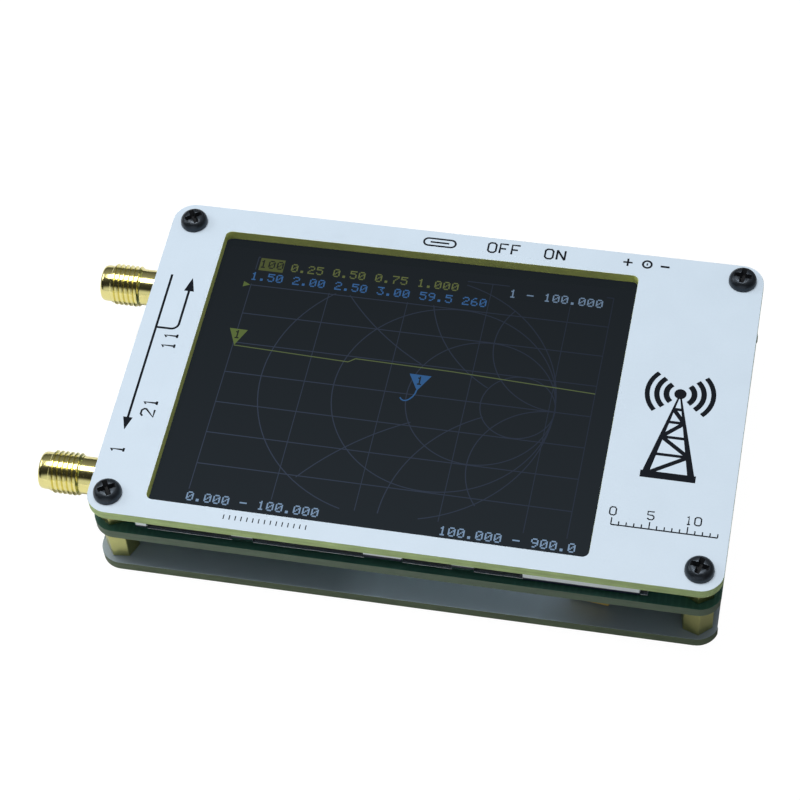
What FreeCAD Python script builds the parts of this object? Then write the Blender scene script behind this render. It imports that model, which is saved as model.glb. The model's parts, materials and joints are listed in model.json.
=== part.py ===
import FreeCAD, Part
import math
import os

# Open-frame antenna analyzer: three circuit-board plates held apart by hex standoffs, with a
# touch display between the front cover and the main board, and the battery below the board.
#
# Frame: the origin is the middle of the plane that the unit stands on, between the heads of its
# four bottom screws. +X runs along the reading direction, away from the two test ports. +Y points
# to the edge with the USB socket, the power switch and the jog lever. +Z points out of the
# screen. All sizes are in millimetres.

# How far a cutter runs past what it cuts, and how far pieces of one solid run into each other.
past = 1.0
merge = 0.1

# ---- display: the piece that the plates are laid out around ----
display_length = 69.2
display_width = 50.0
display_foam = 0.3
tray_sheet = 0.15
tray_tab_height = 1.0
light_guide_thickness = 0.65
light_guide_border = 1.3
screen_glass_thickness = 1.0
touch_thickness = 0.7
touch_inset = 0.3
ribbon_ledge = 4.5
ribbon_width = 18.0
ribbon_sheet = 0.15
ribbon_bend = 0.45
ribbon_landing = 1.6
ribbon_overlap = 2.4
backlight_count = 6
backlight_length = 1.6
backlight_width = 2.6
# Stretches of the tray's long sides that stand up as tabs, as distances from either end.
port_end_tabs = ((0.1, 1.6), (13.3, 16.2), (31.3, 36.6))
ribbon_end_tabs = ((1.0, 16.5), (23.0, 26.0))

# ---- the three plates ----
port_end_margin = 6.75
ribbon_end_margin = 9.55
front_margin = 1.4
switch_margin = 2.6
corner_radius = 3.1
hole_inset = 3.1
hole_radius = 1.1
cover_thickness = 1.6
board_thickness = 1.6
upper_gap = 3.0
lower_gap = 6.5
window_lip = 1.5
window_ribbon_lip = 8.0
window_corner_radius = 0.9

# ---- screws and standoffs, M2 ----
thread_radius = 1.0
thread_clearance = 0.03
screw_head_radius = 1.95
screw_head_height = 1.4
screw_head_round = 0.75
top_screw_grip = 1.2
bottom_screw_grip = 3.0
standoff_flats = 4.0
stud_grip = 1.3
standoff_bore_depth = 4.5
recess_depth = 0.95
recess_arm_width = 0.5
recess_radius = 1.05
recess_tip_radius = 0.4
# How far each screw and standoff happened to be turned when it was tightened, in degrees.
screw_turns = (28, 12, 40, 67)
standoff_turns = (6, 25, 42, 11)
spacer_turns = (26, 45, 2, 31)

# ---- test ports: edge-mounted SMA sockets ----
port_flange = 6.35
port_flange_thickness = 1.6
port_reach = 9.5
port_screw_clearance = 0.2
port_1_from_screw = 8.9
port_thread_radius = 3.125
port_root_radius = 2.74
port_pitch = 0.7056
port_crest = 0.2
port_root_flat = 0.1
port_thread_length = 3.9
port_neck_radius = 2.75
port_tip_radius = 2.65
port_tip_length = 1.4
port_tip_round = 0.35
port_mouth_radius = 2.3
port_mouth_depth = 1.9
port_insulator_radius = 2.05
port_contact_radius = 0.635
port_contact_bore = 0.47
port_contact_depth = 3.0
port_slit = 0.14
port_slit_length = 2.4
port_leg = 1.0
port_leg_length = 4.0
port_tail_width = 0.8
port_tail_sheet = 0.4
port_tail_length = 2.8
port_fit = 0.1

# ---- USB socket, type C ----
usb_from_ribbon_end = 46.05
usb_proud = 0.3
usb_width = 8.94
usb_height = 3.16
usb_wall = 0.3
usb_depth = 7.3
usb_base_depth = 2.0
usb_tongue_width = 6.7
usb_tongue_thickness = 0.7
usb_tongue_length = 4.4
usb_contact_count = 12
usb_contact_pitch = 0.5
usb_contact_width = 0.24
usb_contact_sheet = 0.05
usb_contact_setback = 0.5
usb_tail_length = 0.9
usb_front_leg = 1.8
usb_back_leg = 6.3

# ---- mounting legs of the USB socket and the power switch ----
leg_sheet = 0.3
leg_width = 1.0
leg_depth = 1.4
leg_root = 0.5
leg_clearance = 0.1

# ---- power switch: a two-position slide switch ----
edge_setback = 0.2
switch_from_ribbon_end = 33.35
switch_length = 8.6
switch_depth = 3.8
switch_height = 3.2
switch_sheet = 0.3
switch_base_thickness = 0.7
switch_travel = 2.0
switch_lever_width = 1.5
switch_lever_height = 1.3
switch_lever_reach = 2.0
switch_block_length = 3.8
switch_clearance = 0.05
switch_slot_clearance = 0.1
switch_terminal_radius = 0.35
switch_terminal_pitch = 2.0
switch_terminal_depth = 1.3
switch_contact_sheet = 0.12
switch_contact_gap = 0.45
switch_clip_length = 3.04
switch_clip_width = 1.0
switch_bump_length = 0.5
switch_bump_width = 0.6

# ---- jog lever: tilts both ways and is pressed in ----
jog_from_ribbon_end = 16.35
jog_length = 10.4
jog_height = 3.4
jog_press = 0.4
jog_tilt = 12.0
jog_press_clearance = 0.35
jog_paddle_clearance = 0.25
jog_wall = 0.6
jog_roof = 0.8
jog_sheet = 0.25
jog_clearance = 0.05
jog_mouth = 5.2
jog_pivot_setback = 2.0
jog_pivot_radius = 0.6
jog_pivot_clearance = 0.05
jog_hub_radius = 1.2
jog_hub_thickness = 1.2
jog_plate_thickness = 0.6
jog_plate_length = 6.4
jog_arm_width = 1.6
jog_paddle_depth = 1.0
jog_paddle_width = 5.2
jog_paddle_round = 0.35
jog_spring_wire = 0.1
jog_spring_turns = 2
jog_terminal_count = 5
jog_terminal_pitch = 2.0
jog_terminal_width = 0.6
jog_terminal_length = 0.8
jog_terminal_sheet = 0.2
jog_dome_radius = 1.17
jog_dome_tip_radius = 0.58
jog_dome_height = 0.25
jog_ear_length = 2.0
jog_ear_height = 2.3

# ---- battery ----
battery_length = 40.0
battery_width = 30.0
battery_turn = -6.0
battery_corner_x = 27.9
battery_corner_inset = 3.2
battery_pad = 0.42
battery_air = 0.35
battery_round = 1.2
battery_tape_sheet = 0.12
battery_tape_length = 5.5
battery_cell_gap = 4.6
battery_pad_border = 4.0
guard_board_thickness = 0.8
guard_board_width = 3.0
guard_board_end_gap = 0.6
guard_board_side_gap = 2.0
lead_radius = 0.5
lead_fit = 0.05
# Share of the shorter neighbouring run that a bend of a lead takes up.
lead_bend_share = 0.45
red_lead_start = 16.0
black_lead_start = 12.0
lead_solder_radius = 0.9
lead_solder_height = 0.9
lead_solder_tip = 0.5

# ---- parts on the underside of the main board ----
tallest_chip = 1.6
chip_lead_sheet = 0.15
chip_standoff = 0.1
chip_lead_reach = 0.95
chip_lead_knee = 0.43
passive_length = 1.6
passive_width = 0.8
passive_end = 0.3
capacitor_height = 0.8
resistor_height = 0.45
led_length = 1.6
led_width = 0.8
led_height = 0.6
inductor_size = 4.0
inductor_height = 1.6
inductor_corner = 0.7
can_length = 3.2
can_width = 2.5
can_height = 0.9
can_corner = 0.3
codec_size = 5.0
codec_height = 0.9
codec_pads_per_side = 8
codec_pad_pitch = 0.5
codec_pad_width = 0.25
codec_pad_length = 0.4
codec_pad_sheet = 0.06

# The status lamps stand between the power switch and the jog lever, by the switch edge.
led_from_ribbon_end = (27.05, 24.65)
led_edge_gap = 1.1

# Other places on the board are distances from its port end and from its switch edge.
inductor_place = (54.25, 13.0)
oscillator_place = (20.25, 11.5)
crystal_place = (27.25, 12.0)
codec_place = (22.25, 30.5)
# Chip bodies: place, size along X and Y, height, lead pitch and lead width. The counts are the
# leads on each X side and on each Y side.
microcontroller = ((34.75, 18.5), (7.0, 7.0), 1.4, 0.5, 0.22)
microcontroller_lead_count = (12, 12)
clock_chip = ((20.25, 18.0), (3.0, 3.0), 1.0, 0.5, 0.2)
clock_lead_count = (5, 0)
charger_chip = ((46.75, 14.0), (3.9, 4.9), 1.5, 1.27, 0.4)
charger_lead_count = (4, 0)
mixer_chips = (
    ((10.75, 12.0), (4.9, 3.9), 1.5, 1.27, 0.4),
    ((10.75, 23.5), (4.9, 3.9), 1.5, 1.27, 0.4),
    ((10.75, 44.0), (4.9, 3.9), 1.5, 1.27, 0.4),
)
mixer_lead_count = (0, 4)
regulators = (
    ((60.75, 12.5), (1.6, 2.9), 1.1, 0.95, 0.35),
    ((60.75, 17.5), (1.6, 2.9), 1.1, 0.95, 0.35),
)
regulator_lead_count = (3, 0)
# Rows of small parts: first place, step to the next, and how many stand in the row.
capacitor_rows = (
    ((10.25, 6.4), (2.0, 0.0), 5),
    ((15.35, 9.0), (0.0, 2.0), 4),
    ((8.95, 18.1), (2.6, 0.0), 3),
    ((15.35, 26.0), (0.0, 2.0), 5),
    ((8.75, 36.5), (2.6, 0.0), 3),
    ((15.35, 41.0), (0.0, 2.0), 5),
    ((27.75, 24.6), (2.6, 0.0), 4),
    ((41.55, 16.4), (0.0, 2.2), 4),
    ((51.15, 18.4), (2.6, 0.0), 3),
)
resistor_rows = (
    ((22.75, 9.2), (2.4, 0.0), 4),
    ((8.75, 28.6), (2.6, 0.0), 2),
    ((8.75, 39.0), (2.6, 0.0), 3),
    ((26.95, 29.0), (0.0, 1.8), 4),
    ((20.25, 35.4), (2.6, 0.0), 3),
    ((57.75, 8.4), (2.4, 0.0), 3),
    ((64.95, 12.0), (0.0, 2.0), 4),
)

# ---- sizes that follow ----
plate_length = display_length + port_end_margin + ribbon_end_margin
plate_width = display_width + front_margin + switch_margin
half_length = plate_length / 2
half_width = plate_width / 2
hole_x = half_length - hole_inset
hole_y = half_width - hole_inset

back_low = screw_head_height
back_high = back_low + cover_thickness
board_low = back_high + lower_gap
board_top = board_low + board_thickness
cover_low = board_top + upper_gap
cover_top = cover_low + cover_thickness

display_x0 = port_end_margin - half_length
display_x1 = display_x0 + display_length
display_y0 = front_margin - half_width
display_y1 = display_y0 + display_width
tray_low = board_top + display_foam
guide_low = tray_low + tray_sheet
glass_low = guide_low + light_guide_thickness
glass_top = glass_low + screen_glass_thickness
touch_top = glass_top + touch_thickness

shank_radius = thread_radius - thread_clearance
standoff_corner = standoff_flats / math.sqrt(3)
port_axis_z = board_low + board_thickness / 2
port_1_y = hole_y - port_1_from_screw
port_2_y = -hole_y + standoff_corner + port_screw_clearance + port_flange / 2
port_back_x = -half_length + port_flange_thickness
port_tip_x = -half_length - port_reach

device_face = half_width - edge_setback
usb_x = half_length - usb_from_ribbon_end
switch_x = half_length - switch_from_ribbon_end
jog_x = half_length - jog_from_ribbon_end
usb_mouth = half_width + usb_proud
usb_back = usb_mouth - usb_depth
usb_middle = board_low - usb_height / 2

switch_rest_x = switch_x + switch_travel / 2
switch_y = device_face - switch_depth / 2
switch_low = board_low - switch_height
switch_terminal_low = board_low - switch_base_thickness - switch_contact_sheet
switch_block_top = switch_terminal_low - switch_contact_gap

jog_pivot_y = device_face - jog_pivot_setback
jog_depth = (jog_pivot_setback + jog_hub_radius + jog_press + jog_press_clearance
             + jog_dome_height + jog_wall)
jog_paddle_gap = (jog_press + jog_paddle_width / 2 * math.sin(math.radians(jog_tilt))
                  + jog_paddle_clearance)
jog_back = device_face - jog_depth
jog_roof_low = board_low - jog_roof
jog_plate_high = jog_roof_low - jog_clearance
jog_plate_low = jog_plate_high - jog_plate_thickness
jog_hub_high = jog_plate_low - jog_clearance
jog_hub_low = jog_hub_high - jog_hub_thickness
jog_low = board_low - jog_height

battery_low = back_high + battery_pad - battery_tape_sheet
battery_top = board_low - tallest_chip - battery_air
battery_middle = (battery_low + battery_top) / 2
battery_corner_y = battery_corner_inset - half_width


def vector(x, y, z):
    return FreeCAD.Vector(x, y, z)


X_AXIS = vector(1, 0, 0)
Y_AXIS = vector(0, 1, 0)
Z_AXIS = vector(0, 0, 1)


def block(x0, x1, y0, y1, z0, z1):
    """A block between two corners."""
    return Part.makeBox(x1 - x0, y1 - y0, z1 - z0, vector(x0, y0, z0))


def centred_block(x, y, length, width, z0, z1):
    """A block centred on a place in plan."""
    return block(x - length / 2, x + length / 2, y - width / 2, y + width / 2, z0, z1)


def rod(radius, start, end):
    """A round rod between two points."""
    path = end.sub(start)
    return Part.makeCylinder(radius, path.Length, start, path)


def joined(shapes):
    """Overlapping or touching shapes as one solid."""
    whole = shapes[0]
    for shape in shapes[1:]:
        whole = whole.fuse(shape)
    return whole.removeSplitter()


def less(shape, cutters):
    """A shape with each cutter taken out."""
    for cutter in cutters:
        shape = shape.cut(cutter)
    return shape.removeSplitter()


def rounded_block(x0, x1, y0, y1, z0, z1, radius):
    """A flat block whose four upright edges are round."""
    centres = ((x1 - radius, y1 - radius), (x0 + radius, y1 - radius),
               (x0 + radius, y0 + radius), (x1 - radius, y0 + radius))
    arcs = []
    for turn, (x, y) in enumerate(centres):
        arcs.append(Part.makeCircle(radius, vector(x, y, z0), Z_AXIS, 90 * turn, 90 * turn + 90))
    edges = []
    for number, arc in enumerate(arcs):
        following = arcs[(number + 1) % 4]
        edges.append(arc)
        edges.append(Part.makeLine(arc.valueAt(arc.LastParameter),
                                   following.valueAt(following.FirstParameter)))
    return Part.Face(Part.Wire(edges)).extrude(vector(0, 0, z1 - z0))


def corner_places():
    """The four screw places: front left, back left, front right, back right."""
    return [(side * hole_x, end * hole_y) for side in (-1, 1) for end in (-1, 1)]


def write(name, *shapes):
    """Write one node, as one solid or a group of separate solids."""
    solids = [solid for shape in shapes for solid in shape.Solids]
    for solid in solids:
        if not solid.isValid():
            raise ValueError(name + " has a solid that isn't valid")
    shape = solids[0] if len(solids) == 1 else Part.makeCompound(solids)
    shape.exportStep("parts/" + name + ".step")
    box = shape.BoundBox
    print("%-20s %3d  x %7.2f %7.2f  y %7.2f %7.2f  z %6.2f %6.2f" % (
        name, len(solids), box.XMin, box.XMax, box.YMin, box.YMax, box.ZMin, box.ZMax))


# ---- plates ----

def plate(low, thickness):
    """A plate with round corners and a screw hole in each."""
    holes = [rod(hole_radius, vector(x, y, low - past), vector(x, y, low + thickness + past))
             for x, y in corner_places()]
    blank = rounded_block(-half_length, half_length, -half_width, half_width,
                          low, low + thickness, corner_radius)
    return less(blank, holes)


def front_cover():
    """The front plate, with the window that frames the touch display."""
    window = rounded_block(display_x0 + window_lip, display_x1 - window_ribbon_lip,
                           display_y0 + window_lip, display_y1 - window_lip,
                           cover_low - past, cover_top + past, window_corner_radius)
    return less(plate(cover_low, cover_thickness), [window])


def leg_slots(places):
    """The slots in the main board that take mounting legs."""
    return [centred_block(x, y, leg_sheet + 2 * leg_clearance, leg_width + 2 * leg_clearance,
                          board_low - past, board_top + past) for x, y in places]


def main_board():
    """The middle plate, notched at its end for the flange and tail of each test port."""
    cutters = leg_slots(usb_leg_places() + switch_leg_places())
    for y in (port_1_y, port_2_y):
        cutters.append(block(-half_length - past, port_back_x, y - port_flange / 2 - port_fit,
                             y + port_flange / 2 + port_fit, board_low - past, board_top + past))
        cutters.append(block(port_back_x - past, port_back_x + port_tail_sheet + port_fit,
                             y - port_tail_width / 2 - port_fit, y + port_tail_width / 2 + port_fit,
                             board_low - past, board_top + past))
    for x, y in switch_terminal_places():
        cutters.append(rod(switch_terminal_radius + leg_clearance,
                           vector(x, y, board_low - past), vector(x, y, board_top + past)))
    return less(plate(board_low, board_thickness), cutters)


# ---- screws and standoffs ----

def driver_recess(face):
    """The cross recess in a screw head whose face is at this height."""
    arms = [centred_block(0, 0, 2 * recess_radius, recess_arm_width, face - recess_depth, face),
            centred_block(0, 0, recess_arm_width, 2 * recess_radius, face - recess_depth, face)]
    taper = Part.makeCone(recess_tip_radius, recess_radius, recess_depth,
                          vector(0, 0, face - recess_depth))
    return joined(arms).common(taper)


def screw(length, turn):
    """A pan-head screw, standing head up with the underside of its head at the origin."""
    head = Part.makeCylinder(screw_head_radius, screw_head_height)
    rim = [edge for edge in head.Edges
           if edge.BoundBox.ZMin > screw_head_height - 0.01 and edge.Length > screw_head_radius]
    head = head.makeFillet(screw_head_round, rim)
    body = joined([head, Part.makeCylinder(shank_radius, length + merge, vector(0, 0, -length))])
    body = body.cut(driver_recess(screw_head_height))
    body.rotate(vector(0, 0, 0), Z_AXIS, turn)
    return body


def top_screws():
    """Four screws through the front cover into the upper standoffs."""
    screws = []
    for (x, y), turn in zip(corner_places(), screw_turns):
        body = screw(cover_thickness + top_screw_grip, turn)
        body.translate(vector(x, y, cover_top))
        screws.append(body)
    return screws


def bottom_screws():
    """Four screws through the back cover into the lower standoffs; the unit stands on them."""
    screws = []
    for (x, y), turn in zip(corner_places(), screw_turns):
        body = screw(cover_thickness + bottom_screw_grip, turn)
        body.rotate(vector(0, 0, 0), X_AXIS, 180)
        body.translate(vector(x, y, back_low))
        screws.append(body)
    return screws


def hexagon(x, y, low, high, turn):
    """A hex bar, turned about its own axis."""
    corners = []
    for number in range(7):
        angle = math.radians(turn + 60 * number)
        corners.append(vector(x + standoff_corner * math.cos(angle),
                              y + standoff_corner * math.sin(angle), low))
    return Part.Face(Part.makePolygon(corners)).extrude(vector(0, 0, high - low))


def lower_standoffs():
    """Four hex standoffs: tapped below, with a stud above that passes through the board."""
    pieces = []
    for (x, y), turn in zip(corner_places(), standoff_turns):
        stud = rod(shank_radius, vector(x, y, board_low - merge),
                   vector(x, y, board_top + stud_grip))
        bore = rod(thread_radius, vector(x, y, back_high - past),
                   vector(x, y, back_high + standoff_bore_depth))
        pieces.append(joined([hexagon(x, y, back_high, board_low, turn), stud]).cut(bore))
    return pieces


def upper_standoffs():
    """Four short hex spacers, tapped right through."""
    pieces = []
    for (x, y), turn in zip(corner_places(), spacer_turns):
        bore = rod(thread_radius, vector(x, y, board_top - past), vector(x, y, cover_low + past))
        pieces.append(hexagon(x, y, board_top, cover_low, turn).cut(bore))
    return pieces


# ---- display, from the board upwards ----

def display_foam_tape():
    """The foam tape that holds the display to the board."""
    return block(display_x0 + window_lip, display_x1 - window_lip,
                 display_y0 + window_lip, display_y1 - window_lip, board_top, tray_low)


def display_tray():
    """The pressed steel tray: a floor, an upright at the port end and tabs along both sides."""
    high = tray_low + tray_tab_height
    pieces = [block(display_x0, display_x1, display_y0, display_y1, tray_low, guide_low),
              block(display_x0, display_x0 + tray_sheet, display_y0, display_y1, tray_low, high)]
    tabs = [(display_x0 + start, display_x0 + end) for start, end in port_end_tabs]
    tabs += [(display_x1 - end, display_x1 - start) for start, end in ribbon_end_tabs]
    for start, end in tabs:
        for y in (display_y0, display_y1 - tray_sheet):
            pieces.append(block(start, end, y, y + tray_sheet, tray_low, high))
    return joined(pieces)


def display_frame():
    """The plastic frame inside the tray, around the light guide."""
    outer = block(display_x0 + tray_sheet, display_x1 - tray_sheet, display_y0 + tray_sheet,
                  display_y1 - tray_sheet, guide_low, glass_low)
    border = light_guide_border
    inner = block(display_x0 + border, display_x1 - border, display_y0 + border,
                  display_y1 - border, guide_low - past, glass_low + past)
    return outer.cut(inner)


def light_guide():
    """The clear sheet that spreads the backlight behind the screen."""
    border = light_guide_border
    return block(display_x0 + border, display_x1 - ribbon_ledge, display_y0 + border,
                 display_y1 - border, guide_low, glass_low)


def backlights():
    """The row of lamps that shine into the end of the light guide."""
    lamps = []
    step = (display_width - 2 * light_guide_border) / backlight_count
    for number in range(backlight_count):
        y = display_y0 + light_guide_border + step * (number + 0.5)
        lamps.append(centred_block(display_x1 - ribbon_ledge + backlight_length / 2, y,
                                   backlight_length, backlight_width, guide_low, glass_low))
    return lamps


def screen_glass():
    """The liquid-crystal glass, on the frame and the light guide."""
    return block(display_x0 + tray_sheet, display_x1 - tray_sheet, display_y0 + tray_sheet,
                 display_y1 - tray_sheet, glass_low, glass_top)


def touch_panel():
    """The touch panel, short of the glass at the end where the ribbon leaves."""
    return block(display_x0 + touch_inset, display_x1 - ribbon_ledge, display_y0 + touch_inset,
                 display_y1 - touch_inset, glass_top, touch_top)


def display_ribbon():
    """The ribbon from the screen glass, over the display's end and down onto the board."""
    middle = (display_y0 + display_y1) / 2
    high = glass_top + ribbon_sheet / 2
    low = board_top + ribbon_sheet / 2
    start = display_x1 - ribbon_overlap
    wall = display_x1 + ribbon_bend
    end = wall + ribbon_bend + ribbon_landing
    half = ribbon_sheet / 2
    inner = ribbon_bend - half
    outer = ribbon_bend + half

    def arc(x, z, radius, first, last):
        """A quarter circle in the XZ plane, from one angle to the next."""
        points = []
        for angle in (first, (first + last) / 2, last):
            points.append(vector(x + radius * math.cos(math.radians(angle)), middle,
                                 z + radius * math.sin(math.radians(angle))))
        return Part.Arc(*points).toShape()

    upper = arc(display_x1, high - ribbon_bend, outer, 90, 0)
    lower = arc(wall + ribbon_bend, low + ribbon_bend, inner, 180, 270)
    under = arc(wall + ribbon_bend, low + ribbon_bend, outer, 270, 180)
    inside = arc(display_x1, high - ribbon_bend, inner, 0, 90)
    edges = [Part.makeLine(vector(start, middle, high + half), upper.valueAt(upper.FirstParameter)),
             upper,
             Part.makeLine(upper.valueAt(upper.LastParameter), lower.valueAt(lower.FirstParameter)),
             lower,
             Part.makeLine(lower.valueAt(lower.LastParameter), vector(end, middle, low + half)),
             Part.makeLine(vector(end, middle, low + half), vector(end, middle, low - half)),
             Part.makeLine(vector(end, middle, low - half), under.valueAt(under.FirstParameter)),
             under,
             Part.makeLine(under.valueAt(under.LastParameter), inside.valueAt(inside.FirstParameter)),
             inside,
             Part.makeLine(inside.valueAt(inside.LastParameter), vector(start, middle, high - half)),
             Part.makeLine(vector(start, middle, high - half), vector(start, middle, high + half))]
    profile = Part.Face(Part.Wire(edges))
    profile.translate(vector(0, -ribbon_width / 2, 0))
    return profile.extrude(vector(0, ribbon_width, 0))


# ---- test ports ----

def port_rod(radius, y, start, end):
    """A round rod on a port's axis, between two distances along X."""
    return rod(radius, vector(start, y, port_axis_z), vector(end, y, port_axis_z))


def port_shell(y):
    """A port's plated body: threaded barrel, flange and the four legs that grip the board."""
    thread_end = port_tip_x + port_tip_length
    thread_start = thread_end + port_thread_length
    tip = port_rod(port_tip_radius, y, port_tip_x, thread_end)
    rim = [edge for edge in tip.Edges
           if edge.BoundBox.XMax < port_tip_x + 0.01 and edge.Length > port_tip_radius]
    tip = tip.makeFillet(port_tip_round, rim)
    pieces = [tip, port_rod(port_root_radius, y, thread_end - merge, thread_start + merge)]
    inside = port_root_radius - merge
    flank = (port_pitch - port_crest - port_root_flat) / 2
    count = int(port_thread_length / port_pitch)
    for number in range(count):
        middle = (thread_start + thread_end) / 2 + port_pitch * (number - (count - 1) / 2)
        left = middle - port_crest / 2
        right = middle + port_crest / 2
        outline = ((left - flank, inside), (left - flank, port_root_radius),
                   (left, port_thread_radius), (right, port_thread_radius),
                   (right + flank, port_root_radius), (right + flank, inside),
                   (left - flank, inside))
        ring = Part.makePolygon([vector(x, 0, radius) for x, radius in outline])
        turned = Part.Face(ring).revolve(vector(0, 0, 0), X_AXIS, 360)
        turned.translate(vector(0, y, port_axis_z))
        pieces.append(turned)
    pieces.append(port_rod(port_neck_radius, y, thread_start, -half_length + merge))
    half = port_flange / 2
    pieces.append(block(-half_length, port_back_x, y - half, y + half,
                        port_axis_z - half, port_axis_z + half))
    for side in (-1, 1):
        leg_y = y + side * (half - port_leg / 2)
        for low in (board_top, board_low - port_leg):
            pieces.append(block(port_back_x - merge, port_back_x + port_leg_length,
                                leg_y - port_leg / 2, leg_y + port_leg / 2, low, low + port_leg))
    mouth = port_rod(port_mouth_radius, y, port_tip_x - past, port_tip_x + port_mouth_depth)
    bore = port_rod(port_insulator_radius, y, port_tip_x - past, port_back_x + past)
    return less(joined(pieces), [mouth, bore])


def port_insulator(y):
    """The white insulator between a port's body and its centre contact."""
    sleeve = port_rod(port_insulator_radius, y, port_tip_x + port_mouth_depth, port_back_x)
    return sleeve.cut(port_rod(port_contact_radius, y, port_tip_x, port_back_x + past))


def port_contact(y):
    """A port's centre contact: a slit socket in front and a flat tail on top of the board."""
    front = port_tip_x + port_mouth_depth
    socket = port_rod(port_contact_radius, y, front, port_back_x)
    slit = port_slit / 2
    reach = port_contact_radius
    cutters = [port_rod(port_contact_bore, y, front - past, front + port_contact_depth),
               block(front - past, front + port_slit_length, y - slit, y + slit,
                     port_axis_z - reach, port_axis_z + reach),
               block(front - past, front + port_slit_length, y - reach, y + reach,
                     port_axis_z - slit, port_axis_z + slit)]
    side = port_tail_width / 2
    crank = block(port_back_x, port_back_x + port_tail_sheet, y - side, y + side,
                  port_axis_z - port_tail_sheet, board_top + port_tail_sheet)
    tail = block(port_back_x, port_back_x + port_tail_length, y - side, y + side,
                 board_top, board_top + port_tail_sheet)
    return less(joined([socket, crank, tail]), cutters)


# ---- USB socket ----

def rounded_bar(x, width, height, z, y0, y1):
    """A bar along Y with fully round sides."""
    radius = height / 2
    reach = width / 2 - radius
    return joined([centred_block(x, (y0 + y1) / 2, 2 * reach, y1 - y0, z - radius, z + radius),
                   rod(radius, vector(x - reach, y0, z), vector(x - reach, y1, z)),
                   rod(radius, vector(x + reach, y0, z), vector(x + reach, y1, z))])


def usb_leg_places():
    """The four legs of the USB socket, beside its round sides."""
    reach = usb_width / 2 - leg_sheet / 2
    return [(usb_x + side * reach, usb_mouth - setback)
            for side in (-1, 1) for setback in (usb_front_leg, usb_back_leg)]


def usb_shell():
    """The steel shell of the USB socket, open at the board's edge."""
    outer = rounded_bar(usb_x, usb_width, usb_height, usb_middle, usb_back, usb_mouth)
    legs = [centred_block(x, y, leg_sheet, leg_width, usb_middle, board_low + leg_depth)
            for x, y in usb_leg_places()]
    inner = rounded_bar(usb_x, usb_width - 2 * usb_wall, usb_height - 2 * usb_wall, usb_middle,
                        usb_back - past, usb_mouth + past)
    return less(joined([outer] + legs), [inner])


def usb_body():
    """The plastic base of the USB socket, with the tongue that carries the contacts."""
    base = rounded_bar(usb_x, usb_width - 2 * usb_wall, usb_height - 2 * usb_wall, usb_middle,
                       usb_back, usb_back + usb_base_depth)
    tongue = centred_block(usb_x, usb_back + (usb_base_depth + usb_tongue_length) / 2,
                           usb_tongue_width, usb_base_depth + usb_tongue_length,
                           usb_middle - usb_tongue_thickness / 2,
                           usb_middle + usb_tongue_thickness / 2)
    return joined([base, tongue])


def usb_contacts():
    """Contact strips on both faces of the tongue, and their tails on the board."""
    root = usb_back + usb_base_depth
    front = root + usb_tongue_length - usb_contact_setback
    face = usb_tongue_thickness / 2
    strips = []
    for number in range(usb_contact_count):
        x = usb_x + (number - (usb_contact_count - 1) / 2) * usb_contact_pitch
        for low in (usb_middle + face, usb_middle - face - usb_contact_sheet):
            strips.append(centred_block(x, (root + front) / 2, usb_contact_width, front - root,
                                        low, low + usb_contact_sheet))
        strips.append(centred_block(x, usb_back - usb_tail_length / 2, usb_contact_width,
                                    usb_tail_length, board_low - 2 * usb_contact_sheet, board_low))
    return strips


# ---- power switch ----

def switch_leg_places():
    """The two legs of the power switch, at the ends of its steel shell."""
    reach = switch_length / 2 - leg_sheet / 2
    return [(switch_x + side * reach, switch_y) for side in (-1, 1)]


def switch_terminal_places():
    """The three terminals of the power switch."""
    return [(switch_x + step * switch_terminal_pitch, switch_y) for step in (-1, 0, 1)]


def switch_shell():
    """The steel shell of the power switch, slotted in front for the lever."""
    sheet = switch_sheet
    floor = switch_low + sheet
    outer = centred_block(switch_x, switch_y, switch_length, switch_depth, switch_low, board_low)
    inner = centred_block(switch_x, switch_y, switch_length - 2 * sheet, switch_depth - 2 * sheet,
                          floor, board_low + past)
    slot_length = switch_travel + switch_lever_width + 2 * switch_slot_clearance
    slot = centred_block(switch_x, device_face, slot_length, 4 * sheet,
                         floor, floor + switch_lever_height + 2 * switch_slot_clearance)
    legs = [centred_block(x, y, leg_sheet, leg_width, board_low - leg_root, board_low + leg_depth)
            for x, y in switch_leg_places()]
    return joined([less(outer, [inner, slot])] + legs)


def switch_base():
    """The insulating base that closes the shell of the power switch."""
    base = centred_block(switch_x, switch_y, switch_length - 2 * switch_sheet,
                         switch_depth - 2 * switch_sheet,
                         board_low - switch_base_thickness, board_low)
    return less(base, switch_terminals())


def switch_terminals():
    """The three terminals, from inside the switch up through the board."""
    return [rod(switch_terminal_radius, vector(x, y, switch_terminal_low),
                vector(x, y, board_low + switch_terminal_depth))
            for x, y in switch_terminal_places()]


def switch_slider():
    """The sliding block of the power switch, with the lever that the finger moves."""
    depth = switch_depth - 2 * (switch_sheet + switch_clearance)
    body = centred_block(switch_rest_x, switch_y, switch_block_length, depth,
                         switch_low + switch_sheet + switch_clearance, switch_block_top)
    lever_low = switch_low + switch_sheet + switch_slot_clearance
    lever = block(switch_rest_x - switch_lever_width / 2, switch_rest_x + switch_lever_width / 2,
                  switch_y, device_face + switch_lever_reach,
                  lever_low, lever_low + switch_lever_height)
    return joined([body, lever])


def switch_clip():
    """The contact clip that rides on the sliding block and bridges two terminals."""
    sheet = switch_contact_sheet
    strip = centred_block(switch_rest_x, switch_y, switch_clip_length, switch_clip_width,
                          switch_block_top, switch_block_top + sheet)
    bumps = [centred_block(switch_rest_x + side * switch_terminal_pitch / 2, switch_y,
                           switch_bump_length, switch_bump_width,
                           switch_block_top + sheet / 2, switch_terminal_low - switch_clearance)
             for side in (-1, 1)]
    return joined([strip] + bumps)


# ---- jog lever ----

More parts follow.
